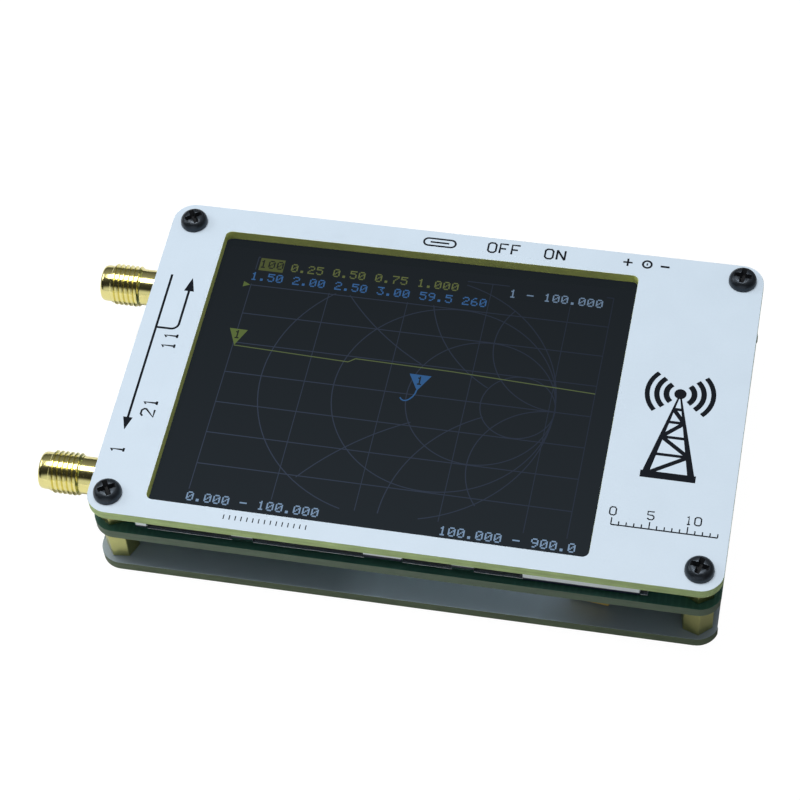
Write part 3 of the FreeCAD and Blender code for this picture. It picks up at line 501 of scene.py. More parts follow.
def place_group(tree, group, **sockets):
    """A node group placed in a material, with its own values; its outputs come back."""
    node = tree.nodes.new("ShaderNodeGroup")
    node.node_tree = group
    for name, value in sockets.items():
        feed(tree, value, node.inputs[name.replace("_", " ")])
    return node.outputs


# %% [markdown]
# ### Group: fine grain
#
# Plastic, paint, solder mask and metal are never one flat colour. This group mixes two sizes of
# noise. It gives a slightly lighter or darker colour, a roughness that wanders around its mean,
# and a height for a Bump node.

# %% Group: fine grain
fine_grain, given, results = new_group(
    "fine_grain",
    (("Color", "Color", (0.5, 0.5, 0.5, 1)), ("Size", "Float", 0.3), ("Contrast", "Float", 0.1),
     ("Roughness", "Float", 0.5), ("Roughness Spread", "Float", 0.1)),
    (("Color", "Color"), ("Roughness", "Float"), ("Height", "Float")))
tree = fine_grain
place = object_place(tree)
scale = calculate(tree, "DIVIDE", 1 / MM, given["Size"])
fine = add_node(tree, "TexNoise", Vector=place, Scale=scale, Detail=4.0, Roughness=0.6).outputs[0]
broad_scale = calculate(tree, "MULTIPLY", scale, 0.05)
broad = add_node(tree, "TexNoise", Vector=place, Scale=broad_scale, Detail=2.0).outputs[0]
centred = calculate(tree, "SUBTRACT", calculate(tree, "ADD", fine, broad), 1.0)
contrast = calculate(tree, "MULTIPLY", centred, given["Contrast"])
shade = calculate(tree, "ADD", contrast, 1.0)
feed(tree, mix_colours(tree, 1.0, given["Color"], shade, "MULTIPLY"), results["Color"])
spread = calculate(tree, "MULTIPLY", centred, given["Roughness Spread"])
feed(tree, calculate(tree, "ADD", given["Roughness"], spread), results["Roughness"])
feed(tree, fine, results["Height"])
print("group fine_grain has", len(tree.nodes), "nodes")

# %% [markdown]
# ### Group: edge wear
#
# A Bevel node gives the normal that a slightly rounded edge would have. Where it differs from the
# true normal, there is an edge near by. Its product with a noise gives broken, natural wear.

# %% Group: edge wear
edge_wear, given, results = new_group(
    "edge_wear", (("Width", "Float", 0.15), ("Amount", "Float", 0.5)), (("Mask", "Float"),))
tree = edge_wear
rounded = add_node(tree, "Bevel", Radius=calculate(tree, "MULTIPLY", given["Width"], MM))
rounded.samples = 4
compare = add_node(tree, "VectorMath")
compare.operation = "DOT_PRODUCT"
feed(tree, rounded.outputs[0], compare.inputs[0])
feed(tree, add_node(tree, "NewGeometry").outputs["Normal"], compare.inputs[1])
apart = calculate(tree, "SUBTRACT", 1.0, compare.outputs["Value"])
patches = add_node(tree, "TexNoise", Vector=object_place(tree), Scale=700.0, Detail=5.0,
                   Roughness=0.7).outputs[0]
broken = calculate(tree, "MULTIPLY", calculate(tree, "MULTIPLY", apart, 6.0), patches)
worn = calculate(tree, "MULTIPLY", broken, given["Amount"])
feed(tree, calculate(tree, "MINIMUM", worn, 1.0), results["Mask"])
print("group edge_wear has", len(tree.nodes), "nodes")

# %% [markdown]
# ### Group: dust
#
# Dust lies on faces that look up, in uneven patches. The group gives only a mask, and the
# material mixes its own pale dust colour in.

# %% Group: dust
dust, given, results = new_group("dust", (("Amount", "Float", 0.1),), (("Mask", "Float"),))
tree = dust
facing = calculate(tree, "MAXIMUM", axes_of(tree, object_place(tree, "Normal"))["Z"], 0.0)
specks = add_node(tree, "TexNoise", Vector=object_place(tree), Scale=900.0, Detail=6.0,
                  Roughness=0.75).outputs[0]
patch = calculate(tree, "MULTIPLY", calculate(tree, "SUBTRACT", specks, 0.45), 3.0)
upward = calculate(tree, "MULTIPLY", facing, calculate(tree, "MAXIMUM", patch, 0.0))
feed(tree, calculate(tree, "MULTIPLY", upward, given["Amount"]), results["Mask"])
print("group dust has", len(tree.nodes), "nodes")


# %% Helpers for finishes
def bump_into(tree, shader, height, depth, strength=0.5):
    """Drive a shader's normal from a height, where depth is in millimetres."""
    bump = add_node(tree, "Bump", Strength=strength, Distance=depth * MM, Height=height)
    feed(tree, bump.outputs[0], shader.inputs["Normal"])


def grained(name, colour, size, contrast, roughness, spread, depth, wear=0.0, worn_colour=None,
            dusty=0.0, **shader_values):
    """The usual finish: grain, some wear at the edges and some dust, all with own values."""
    finish, tree, shader = new_finish(name, **shader_values)
    grain = place_group(tree, fine_grain, Color=colour + (1,), Size=size, Contrast=contrast,
                        Roughness=roughness, Roughness_Spread=spread)
    surface = grain["Color"]
    if wear:
        edges = place_group(tree, edge_wear, Amount=wear)
        surface = mix_colours(tree, edges["Mask"], surface, worn_colour)
    if dusty:
        settled = place_group(tree, dust, Amount=dusty)
        surface = mix_colours(tree, settled["Mask"], surface, (0.62, 0.61, 0.58, 1))
    feed(tree, surface, shader.inputs["Base Color"])
    feed(tree, grain["Roughness"], shader.inputs["Roughness"])
    bump_into(tree, shader, grain["Height"], depth)
    return finish


# %% [markdown]
# ## Metals, plastics and films
#
# The finishes below are for whole pieces. Gold plate is close to a mirror, brass is turned and a
# little duller, tin plate is duller still. The black screws have worn edges. Plastics differ in
# grain size and gloss. All are made by one function, so a table says how they differ.

# %% Finishes of metals
# A row gives the colour, then the grain's size in millimetres, its contrast, the roughness and its
# spread, the depth of the grain in millimetres, and last what else the finish needs.
finishes = {}


def add_finishes(rows):
    """Make a finish from each row of a table, and keep it under its name."""
    for name, colour, grain, more in rows:
        finishes[name] = grained(name, colour, *grain, **more)
    print("finishes so far:", len(finishes))


metal = {"metallic": 1.0}
add_finishes((
    ("gold_plate", (0.88, 0.80, 0.33), (0.4, 0.06, 0.17, 0.08, 0.002), metal),
    ("turned_brass", (0.49, 0.49, 0.19), (0.2, 0.18, 0.33, 0.12, 0.004), metal),
    ("bright_steel", (0.80, 0.82, 0.84), (0.3, 0.05, 0.14, 0.06, 0.001), metal),
    ("tin_plate", (0.62, 0.63, 0.64), (0.35, 0.08, 0.3, 0.12, 0.003), metal),
    ("solder", (0.58, 0.59, 0.60), (0.25, 0.12, 0.28, 0.15, 0.01), metal),
    ("pouch_foil", (0.82, 0.85, 0.90), (0.8, 0.1, 0.36, 0.1, 0.02), {"metallic": 0.35}),
    ("black_zinc", (0.034, 0.043, 0.054), (0.2, 0.3, 0.36, 0.15, 0.006),
     {"metallic": 0.75, "wear": 0.35, "worn_colour": (0.15, 0.17, 0.19, 1), "dusty": 0.05}),
    # Painted shade: the screws' recesses get a near-black finish, darker than the black zinc.
    ("recess_painted_shade", (0.008, 0.009, 0.011), (0.2, 0.3, 0.6, 0.1, 0.006), {"specular": 0.2}),
))

# %% Finishes of plastics, ceramics, films and ink
add_finishes((
    # Painted light: the window walls' laminate is much lighter and yellower than the other sides.
    ("window_wall_painted_light", (0.88, 0.97, 0.30), (0.12, 0.3, 0.62, 0.15, 0.004), {}),
    ("black_moulding", (0.018, 0.018, 0.02), (0.15, 0.25, 0.48, 0.12, 0.008), {"dusty": 0.06}),
    ("chip_epoxy", (0.022, 0.022, 0.025), (0.1, 0.35, 0.55, 0.15, 0.006), {}),
    ("phenolic_board", (0.16, 0.075, 0.03), (0.2, 0.3, 0.6, 0.1, 0.01), {}),
    ("white_insulator", (0.82, 0.82, 0.80), (0.3, 0.06, 0.42, 0.1, 0.006), {}),
    ("fired_ceramic", (0.30, 0.20, 0.11), (0.15, 0.25, 0.45, 0.1, 0.005), {}),
    ("pressed_ferrite", (0.07, 0.07, 0.075), (0.12, 0.4, 0.6, 0.1, 0.01), {}),
    ("foam_tape", (0.62, 0.62, 0.59), (0.12, 0.3, 0.9, 0.1, 0.03), {}),
    ("amber_film", (0.40, 0.29, 0.075), (0.6, 0.12, 0.2, 0.08, 0.01), {"coat": 0.4}),
    ("red_sleeve", (0.42, 0.012, 0.010), (0.25, 0.1, 0.42, 0.1, 0.006), {}),
    ("black_sleeve", (0.012, 0.012, 0.013), (0.25, 0.2, 0.42, 0.1, 0.006), {}),
    ("lamp_resin", (0.80, 0.72, 0.38), (0.3, 0.1, 0.2, 0.1, 0.004), {"coat": 0.3}),
    ("white_frame", (0.86, 0.93, 0.94), (0.3, 0.05, 0.4, 0.1, 0.004), {}),
    # Painted shade: a dark navy finish for strips that stand in for shade under the display's frame.
    ("painted_shade_strip", (0.006, 0.009, 0.024), (0.3, 0.2, 0.35, 0.1, 0.003), {}),
    ("legend_ink", (0.004, 0.0065, 0.0115), (0.1, 0.3, 0.6, 0.15, 0.004), {"specular": 0.1}),
))

# %% [markdown]
# ## The plates
#
# Each plate is a sheet of glass-epoxy board, routed out, so its faces carry solder mask and its
# sides show the bare laminate. One material does both: the object-space normal tells a face from
# a side. On the sides the thin layers of glass cloth show as fine horizontal streaks. The covers
# have white mask, the main board green, with copper tracks under the mask that show as slightly
# lighter lines.
#
# The plates could be modelled again from a primitive, but the CAD outline is already right, with
# its window, notches and holes. So each one is a copy of the CAD mesh, merged, with its narrow
# edges broken by a small bevel, because a perfectly sharp edge catches no light. No router is
# perfect: the two lower plates are a little shorter at their ends, and the window's corners lie
# a little off their drawn places.


# %% Helpers: a CAD shape with broken edges
def merged_copy(node):
    """A copy of a CAD node's shape, merged, with its flat faces made one again."""
    piece = copy_of(frame["nodes"][node])
    piece.parent = None
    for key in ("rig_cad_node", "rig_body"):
        del piece[key]
    only(piece)
    bpy.ops.object.mode_set(mode="EDIT")
    bpy.ops.mesh.select_mode(type="VERT")
    bpy.ops.mesh.select_all(action="SELECT")
    bpy.ops.mesh.remove_doubles(threshold=0.001 * MM)
    bpy.ops.mesh.dissolve_limited(angle_limit=math.radians(0.5))
    leave_edit()
    piece.data.materials.clear()
    return piece


def broken_edges(piece, node, width, finish):
    """Give a node's copy a small bevel on its sharp edges, in millimetres, and settle it."""
    soften(piece, width)
    settle(piece, node + "_eased", body=frame["nodes"][node]["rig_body"], stands_for=(node,), smooth=50)
    dress(piece, finish)
    return piece


def second_finish(piece, finish, rule):
    """Give the faces that a rule accepts another finish."""
    piece.data.materials.append(finish)
    pick_faces(piece, rule)
    piece.active_material_index = 1
    bpy.ops.object.material_slot_assign()
    leave_edit()
    print(finish.name, "on", sum(face.material_index for face in piece.data.polygons), "faces")


# %% Parts of the boards' finish
def stripes(tree, along, pitch, half_width):
    """Stripes that repeat along an axis, at a pitch in millimetres; half_width is a share of it."""
    step = calculate(tree, "FRACT", calculate(tree, "MULTIPLY", along, 1 / (pitch * MM)))
    off_centre = calculate(tree, "ABSOLUTE", calculate(tree, "SUBTRACT", step, 0.5))
    return calculate(tree, "LESS_THAN", off_centre, half_width)


def track_mask(tree, place):
    """Copper under the mask: straight tracks in patches, along X in some and along Y in others."""
    patches = add_node(tree, "TexVoronoi", Vector=place, Scale=160.0)
    patches.distance = "CHEBYCHEV"
    choice = add_node(tree, "SeparateColor", Color=patches.outputs["Color"]).outputs
    axes = axes_of(tree, place)
    lines = [stripes(tree, axes[axis], 0.9, 0.16) for axis in ("X", "Y")]
    along_x = calculate(tree, "GREATER_THAN", choice["Red"], 0.5)
    has_tracks = calculate(tree, "GREATER_THAN", choice["Green"], 0.35)
    return calculate(tree, "MULTIPLY", mix_values(tree, along_x, *lines), has_tracks)


def dim_ends(tree, place, colour):
    """Painted shade: a darker upper front margin at a mask's ends, where little light gets in."""
    axes = axes_of(tree, place)
    left_end = ramp(tree, axes["X"], -9.5 * MM, -3.5 * MM, 0.62, 1.0)
    right_end = ramp(tree, axes["X"], 18.5 * MM, 26.5 * MM, 1.0, 0.5)
    behind = ramp(tree, axes["Y"], -23.0 * MM, -19.5 * MM)
    below = ramp(tree, axes["Z"], 2.0 * MM, 2.4 * MM, 1.0, 0.0)
    ends = calculate(tree, "MULTIPLY", left_end, right_end)
    kept = calculate(tree, "MAXIMUM", ends, calculate(tree, "MAXIMUM", behind, below))
    return mix_colours(tree, 1.0, colour, kept, "MULTIPLY")


# %% Finish: solder mask on faces, laminate on sides
def board_finish(name, mask_colour, side_colour, tracks=0.0, roughness=0.38, dim=False):
    """A circuit board's finish; tracks is how much lighter the mask is over copper."""
    finish, tree, shader = new_finish(name)
    place = object_place(tree)
    upright = calculate(tree, "ABSOLUTE", axes_of(tree, object_place(tree, "Normal"))["Z"])
    is_face = calculate(tree, "GREATER_THAN", upright, 0.6)
    mask = place_group(tree, fine_grain, Color=mask_colour, Size=0.25, Contrast=0.05,
                       Roughness=roughness, Roughness_Spread=0.12)
    side = place_group(tree, fine_grain, Color=side_colour, Size=0.12, Contrast=0.5, Roughness=0.62,
                       Roughness_Spread=0.15)
    layers = add_node(tree, "Mapping", Vector=place, Scale=(0.15, 0.15, 6.0)).outputs[0]
    cloth = add_node(tree, "TexNoise", Vector=layers, Scale=900.0, Detail=3.0).outputs[0]
    streaks = calculate(tree, "ADD", calculate(tree, "MULTIPLY", cloth, 0.7), 0.65)
    bare_side = mix_colours(tree, 1.0, side["Color"], streaks, "MULTIPLY")
    face_colour = mask["Color"]
    height = mask["Height"]
    if dim:
        face_colour = dim_ends(tree, place, face_colour)
    if tracks:
        copper = track_mask(tree, place)
        lighter = tuple(min(1.0, 1.9 * value + 0.012) for value in mask_colour[:3]) + (1.0,)
        share = calculate(tree, "MULTIPLY", copper, tracks)
        face_colour = mix_colours(tree, share, face_colour, lighter)
        height = calculate(tree, "ADD", calculate(tree, "MULTIPLY", height, 0.3), copper)
    feed(tree, mix_colours(tree, is_face, bare_side, face_colour), shader.inputs["Base Color"])
    feed(tree, mix_values(tree, is_face, side["Roughness"], mask["Roughness"]),
         shader.inputs["Roughness"])
    bump_into(tree, shader, height, 0.01, strength=0.35)
    return finish


# %% The plates
cover_white = board_finish("white_mask_board", screen_colour(214, 230, 244),
                           screen_colour(176, 199, 134))
# Painted shade: the main board and the back cover get darker copies of the front cover's laminate
# colour for their sides, for the shade that falls between the plates.
board_green = board_finish("green_mask_board", screen_colour(46, 94, 78), screen_colour(86, 103, 84),
                           tracks=0.15)
# Painted shade: the back cover's mask is also darkened at both ends of its front margin.
back_white = board_finish("back_mask_board", screen_colour(212, 230, 243), screen_colour(84, 98, 74),
                          roughness=0.2, dim=True)
hole_x, hole_y = 39.65 * MM, 23.9 * MM
end_zone = 39.8 * MM
front_zone = -24 * MM
# Each window corner is milled a little off its drawn place: where it is drawn, and how far off.
window_corners = ((-34.5, 22.9, 0.05, -0.12), (25.2, 22.9, 0.15, 0.155),
                  (-34.5, -24.1, -0.22, 0.12), (25.2, -24.1, -0.16, 0.0))


def is_side(face):
    """True for the sides of a plate, without the walls of its screw holes."""
    off_hole = math.hypot(abs(face.center.x) - hole_x, abs(face.center.y) - hole_y)
    return abs(face.normal.z) < 0.5 and off_hole > 1.5 * MM


plates = {}
for node, finish, right_trim, left_trim in (
        ("front_cover", cover_white, 0, 0), ("main_board", board_green, 0.1, 0.3),
        ("back_cover", back_white, 0.25, 0.1), ("battery_guard_board", board_green, 0, 0)):
    plate = merged_copy(node)
    move_faces(plate, lambda face: face.normal.x > 0.99 and face.center.x > cad_high.x - 0.05 * MM,
               right=-right_trim)
    move_faces(plate, lambda face: is_side(face) and face.center.x < -end_zone, right=left_trim)
    if node == "back_cover":
        # Its front right corner is cut a little short too.
        move_faces(plate, lambda face: is_side(face) and face.center.x > end_zone
                   and face.center.y < front_zone, right=-0.05, back=0.22)
    if node == "front_cover":
        for x, y, right, back in window_corners:
            move_faces(plate, lambda face: abs(face.normal.z) < 0.5
                       and max(abs(face.center.x - x * MM), abs(face.center.y - y * MM)) < 1 * MM,
                       right, back)
    plates[node] = broken_edges(plate, node, 0.06, finish)
    print(plate.name, len(plate.data.polygons), "faces")

# %% The window's routed walls
# The front cover's window is milled after pressing. Its walls get painted light: a much lighter,
# yellower laminate colour than the plates' other sides.
window_left, window_right, window_half = -35 * MM, 25.7 * MM, 24.6 * MM
second_finish(plates["front_cover"], finishes["window_wall_painted_light"],
              lambda face: abs(face.normal.z) < 0.6 and abs(face.center.y) < window_half
              and window_left < face.center.x < window_right)

# %% [markdown]
# ## Small parts that the CAD already shapes
#
# Chips, cans, sockets and the switches keep their CAD shapes with eased edges. Moulded parts get
# a wider bevel than sheet-metal ones. Parts with no width here are too fine for one, and the CAD
# nodes themselves get the finish.

# %% Ease the CAD shapes and give them their finishes
small_parts = (
    ("display_tape", 0.03, "foam_tape"),
    ("display_frame", 0.04, "black_moulding"), ("light_guide", 0.04, "lamp_resin"),
    ("backlights", 0.05, "lamp_resin"), ("battery_pad", 0.05, "foam_tape"),
    ("usb_shell", 0.07, "tin_plate"), ("usb_body", 0.08, "black_moulding"),
    ("usb_contacts", 0.012, "gold_plate"), ("switch_shell", 0.08, "tin_plate"),
    ("switch_base", 0.05, "phenolic_board"), ("switch_terminals", 0.06, "solder"),
    ("switch_slider", 0.12, "black_moulding"), ("switch_clip", 0.03, "tin_plate"),
    ("jog_housing", 0.1, "black_moulding"), ("jog_cover", 0.05, "tin_plate"),
    ("jog_carrier", 0.06, "black_moulding"), ("jog_lever", 0.12, "black_moulding"),
    ("jog_spring", 0.0, "tin_plate"), ("jog_contacts", 0.04, "solder"),
    ("port_1_insulator", 0.05, "white_insulator"), ("port_2_insulator", 0.05, "white_insulator"),
    ("port_1_contact", 0.03, "gold_plate"), ("port_2_contact", 0.03, "gold_plate"),
    ("microcontroller", 0.09, "chip_epoxy"), ("clock_chip", 0.07, "chip_epoxy"),
    ("charger_chip", 0.09, "chip_epoxy"), ("mixer_chips", 0.09, "chip_epoxy"),
    ("regulators", 0.08, "chip_epoxy"), ("audio_codec", 0.06, "chip_epoxy"),
    ("inductor", 0.15, "pressed_ferrite"), ("reference_oscillator", 0.1, "tin_plate"),
    ("crystal", 0.1, "tin_plate"), ("capacitors", 0.05, "fired_ceramic"),
    ("resistors", 0.03, "chip_epoxy"), ("small_part_ends", 0.04, "solder"),
    ("status_lamps", 0.08, "lamp_resin"), ("chip_leads", 0.0, "solder"),
    ("codec_pads", 0.0, "solder"), ("battery_solder", 0.0, "solder"),
)
for node, width, name in small_parts:
    if width:
        broken_edges(merged_copy(node), node, width, finishes[name])
    else:
        dress(frame["nodes"][node], finishes[name])
print("dressed", len(small_parts), "nodes")

# %% [markdown]
# ## The lit display
#
# The display is a sandwich: black glass below, and a clear touch panel on it. Light that passes
# through a clear solid makes a render noisy, and here there is only black below it. So the panel
# is black too, and the clear sheet is a coat on its material, with a faint gloss. It glows a
# little, because a liquid-crystal panel never shuts its backlight off completely. The picture is
# drawn as very thin raised pieces on the panel, each lit by its own colour. Drawn as geometry, it
# stays sharp at any distance.

# %% The display's tray
# Its front side stands half a millimetre further out here, where it shows under the front cover,
# and its tabs reach up to the glass.
tray = merged_copy("display_tray")
tray_low, tray_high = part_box("display_tray")
move_faces(tray, lambda face: face.center.y < tray_low.y + 0.2 * MM, back=-0.5)
move_faces(tray, lambda face: face.normal.z > 0.9 and face.center.z > tray_high.z - 0.05 * MM
           and face.center.y < tray_low.y + 0.3 * MM and abs(face.center.y) < 26.5 * MM, up=0.75)
broken_edges(tray, "display_tray", 0.03, finishes["bright_steel"])
print(tray.name, len(tray.data.polygons), "faces")

# %% Group: light of the panel
# The far rows of such a panel look dimmer than the near ones, because each is seen at its own
# angle. Thin lines also fade a little to the right. The group gives that share, from the place on
# the panel.
panel_light, given, results = new_group("panel_light", (("Fade", "Float", 0.0),),
                                        (("Share", "Float"),))
tree = panel_light
on_face = axes_of(tree, object_place(tree))
far_share = ramp(tree, on_face["Y"], -22.5 * MM, 20.5 * MM, 1.0, 0.68)
rightwards = ramp(tree, on_face["X"], -30 * MM, 22 * MM)
kept = calculate(tree, "SUBTRACT", 1.0, calculate(tree, "MULTIPLY", rightwards, given["Fade"]))
feed(tree, calculate(tree, "MULTIPLY", far_share, kept), results["Share"])
print("group panel_light has", len(tree.nodes), "nodes")


# %% Finishes for glass and for light
def glowing(name, colour, fade=0.0):
    """A finish for the display: black under a faint gloss, and lit by its own colour."""
    finish, tree, shader = new_finish(name, specular=0.0, coat=1.0)
    for socket, value in (("Base Color", (0.0008, 0.001, 0.0012, 1)), ("Roughness", 0.3),
                          ("Coat Roughness", 0.02), ("Coat IOR", 1.15), ("Emission Strength", 1.0)):
        shader.inputs[socket].default_value = value
    share = place_group(tree, panel_light, Fade=fade)["Share"]
    feed(tree, mix_colours(tree, 1.0, colour, share, "MULTIPLY"), shader.inputs["Emission Color"])
    return finish


dark_glass = glowing("dark_display_glass", (0.0168, 0.0220, 0.0272, 1))
unlit_dots = glowing("unlit_dots", (0.02, 0.024, 0.022, 1))
grid_light = glowing("grid_light", screen_colour(57, 66, 83), fade=0.38)
trace_light = glowing("trace_light", screen_colour(94, 108, 70))
yellow_light = glowing("yellow_light", screen_colour(107, 116, 70))
box_light = glowing("box_light", screen_colour(90, 98, 58))
blue_light = glowing("blue_light", screen_colour(64, 108, 162))
white_light = glowing("white_light", screen_colour(124, 149, 177))
marker_yellow = glowing("marker_yellow", screen_colour(99, 116, 64))
marker_blue = glowing("marker_blue", screen_colour(55, 98, 148))
for node in ("touch_panel", "screen_glass"):
    broken_edges(merged_copy(node), node, 0.05, dark_glass)
print("materials so far:", len(bpy.data.materials))

# %% Levels and sizes of the picture
# The picture is planned as it lies on the black glass. The panel sits a little askew in its tray,
# so a rule carries each place of the plan to its place on the panel. What is drawn later lies on
# what was drawn before.
line_height = 0.012 * MM
line_width = 0.15 * MM
grid_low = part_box("touch_panel")[1].z + 0.003 * MM
chart_low = grid_low + line_height
trace_low = chart_low + line_height
text_low = trace_low + line_height
grid_xs = (-29.55, -18.17, -6.83, 4.5, 15.9)
grid_ys = (20.1, 14.96, 9.83, 4.63, -0.54, -5.75, -10.9, -16.1)
grid_right = 21.7
grid_bottom = -20.4


def on_panel(x, y):
    """The place on the panel of a place on the picture's plan, both in millimetres."""
    return (1.004 * x + 0.013 * y + 0.18, 1.002 * y - 0.002 * x - 0.1)


# %% Helpers for flat lines
def bar(start, end, width, low):
    """A thin straight line between two places on the picture's plan."""
    start, end = Vector(on_panel(*start)) * MM, Vector(on_panel(*end)) * MM
    along = end - start
    return block((*((start + end) / 2), low + line_height / 2), (along.length, width, line_height),
                 math.atan2(along.y, along.x))


def ring(centre, radius, keep, sides=96):
    """A thin ring around a place on the plan; keep(point) says which stretches of it stay."""
    x, y = on_panel(*centre)
    middle = (x * MM, y * MM, chart_low)
    inside = radius * MM - line_width / 2
    start_piece()
    bpy.ops.mesh.primitive_circle_add(vertices=sides, radius=inside, location=middle)
    piece = bpy.context.object
    edit_all(piece)
    bpy.ops.mesh.extrude_edges_move()
    grow = (inside + line_width) / inside
    bpy.ops.transform.resize(value=(grow, grow, 1), center_override=middle)
    face_outwards(piece)
    apply_place()
    delete_faces(piece, lambda face: not keep(face.center / MM))
    thicken(piece, line_height)
    return piece


def arrow_head(tip, base, width, low, height):
    """A thin triangle from the middle of its base to its tip, given in millimetres."""
    tip, base = Vector(tip), Vector(base)
    along = tip - base
    start_piece()
    bpy.ops.mesh.primitive_circle_add(vertices=3, radius=1, fill_type="NGON")
    piece = bpy.context.object
    # The circle's three corners lie at 90, 210 and 330 degrees; here they become a unit triangle.
    edit_all(piece)
    bpy.ops.transform.translate(value=(0, 0.5, 0))
    bpy.ops.transform.resize(value=(1 / math.sqrt(3), 1 / 1.5, 1), center_override=(0, 0, 0))
    leave_edit()
    thicken(piece, height)
    piece.scale = (width * MM, along.length * MM, 1)
    piece.rotation_euler = (0, 0, math.atan2(along.y, along.x) - math.pi / 2)
    piece.location = (base.x * MM, base.y * MM, low)
    apply_place()
    return piece


def drawn(pieces, name, finish):
    """Join the lines of one drawing, and fix them on the display."""
    finished(pieces, finish, name, 0)


# %% [markdown]
# ### The display's front side
#
# Between the tabs of the tray the display's inner layers show: the white frame of the light guide,
# and under it a dark navy strip of painted shade, for the shade below the frame. Each is a thin
# strip with rounded edges, set just in front of the tray.

# %% Strips between the tabs
strip_depth = 0.12 * MM
strip_middle = tray_low.y - 0.6 * MM + strip_depth / 2
strip_top = 13.3
# Each opening's left and right end, and where the painted shade strip starts and stops.
openings = ((-36.0, -34.5, 11.9, 12.2), (-22.7, -19.8, 12.2, 12.7), (-4.7, 0.5, 11.85, 12.45),
            (7.2, 10.2, 12.2, 12.7), (16.7, 32.1, 11.45, 11.95))


def strip(start, end, low, high):
    """One upright strip at the display's front side, with sizes in millimetres."""
    piece = block(((start + end) / 2 * MM, strip_middle, (low + high) / 2 * MM),
                  ((end - start) * MM, strip_depth, (high - low) * MM))
    soften(piece, 0.04)
    return piece


finished([strip(start, end, middle, strip_top) for start, end, low, middle in openings],
         finishes["white_frame"], "light_guide_frame", 50)
# Painted shade: a dark navy strip below each white frame strip.
finished([strip(start, end, low, middle) for start, end, low, middle in openings],
         finishes["painted_shade_strip"], "display_painted_shade_strip", 50)

# %% [markdown]
# ### The chart
#
# The chart lays a plain grid under the circles and arcs of the common impedance chart. All its
# circles touch in one point at the right. Circles of constant resistance have radii that are
# simple shares of the outermost one. Arcs of constant reactance are centred straight above and
# below the point where all touch. They stop at the outermost circle, and the wide ones also stop
# short of the crowded point, at one of the small circles. A rule removes the faces beyond.

# %% The grid
upright_lines = [bar((x, grid_bottom), (x, grid_ys[0]), 0.75 * line_width, grid_low)
                 for x in grid_xs + (grid_right,)]
level_lines = [bar((grid_xs[0], y), (grid_right, y), line_width, grid_low) for y in grid_ys]
drawn(upright_lines + level_lines, "display_grid", grid_light)

# %% The impedance chart
chart_x, chart_y = 16.8, -0.54
touching = on_panel(chart_x, chart_y)
chart_radius = 20.6


def on_display(point):
    """True where the display can draw."""
    return on_panel(0, grid_bottom)[1] < point.y < on_panel(0, grid_ys[0])[1]


def in_circle(point, radius):
    """True inside the chart's circle of this radius."""
    return math.hypot(point.x - (touching[0] - radius), point.y - touching[1]) < radius


def reactance_rule(stop):
    """A rule that keeps what lies inside the outermost circle and outside the circle of a stop."""
    return lambda point: (on_display(point) and in_circle(point, chart_radius)
                          and not in_circle(point, stop))


curves = []
for share in (1.0, 0.75, 0.5, 0.25):
    radius = chart_radius * share
    curves.append(ring((chart_x - radius, chart_y), radius, on_display))
for share, stop in ((2.0, 0.5), (1.0, 0.25), (0.5, 0.0)):
    for side in (-1, 1):
        radius = chart_radius * share
        curves.append(ring((chart_x, chart_y + side * radius), radius,
                           reactance_rule(stop * chart_radius), sides=160))
drawn(curves, "display_chart", grid_light)

# %% The trace and the markers
trace_points = ((-29.4, 4.1), (-13.6, 3.62), (-12.9, 3.6), (-12.0, 4.3), (1.7, 4.1), (21.7, 3.3))
hook_points = ((-2.53, 0.3), (-2.63, -0.34), (-2.87, -0.9), (-3.24, -1.38), (-3.65, -1.67),
               (-4.04, -1.7), (-4.32, -1.55), (-4.55, -1.27))
trace = [bar(start, end, line_width, trace_low) for start, end in zip(trace_points, trace_points[1:])]
drawn(trace, "display_trace", trace_light)
drawn([arrow_head(on_panel(-29.35, 4.15), on_panel(-29.35, 6.95), 2.6, trace_low, line_height),
       arrow_head(on_panel(-29.65, 14.96), on_panel(-30.65, 14.96), 0.95, text_low, line_height)],
      "display_marker_yellow", marker_yellow)
hook = [bar(start, end, 0.19 * MM, trace_low) for start, end in zip(hook_points, hook_points[1:])]
drawn([arrow_head(on_panel(-2.5, 0.2), on_panel(-2.5, 2.9), 3.1, trace_low, line_height)] + hook,
      "display_marker_blue", marker_blue)

# %% [markdown]
# ### Numbers on the display
#
# The display writes with dots, five wide and seven high. Each digit starts as a grid of five by
# seven faces, and the faces of unlit dots are deleted. A finished digit is kept and copied, with
# its own mesh each time. Only plain numbers are written.

# %% Dot patterns, row by row from the top
dots = {
    "0": "01110 10001 10011 10101 11001 10001 01110", "1": "00100 01100 00100 00100 00100 00100 01110",
    "2": "01110 10001 00001 00110 01000 10000 11111", "3": "11111 00010 00100 00010 00001 10001 01110",
    "4": "00010 00110 01010 10010 11111 00010 00010", "5": "11111 10000 11110 00001 00001 10001 01110",
    "6": "00110 01000 10000 11110 10001 10001 01110", "7": "11111 00001 00010 00100 01000 01000 01000",
    "8": "01110 10001 10001 01110 10001 10001 01110", "9": "01110 10001 10001 01111 00001 00010 01100",
    ".": "00000 00000 00000 00000 00000 01100 01100", "-": "00000 00000 00000 11111 00000 00000 00000",
}
dot_width = 0.195 * MM
dot_height = 0.205 * MM
digit_step = 1.227


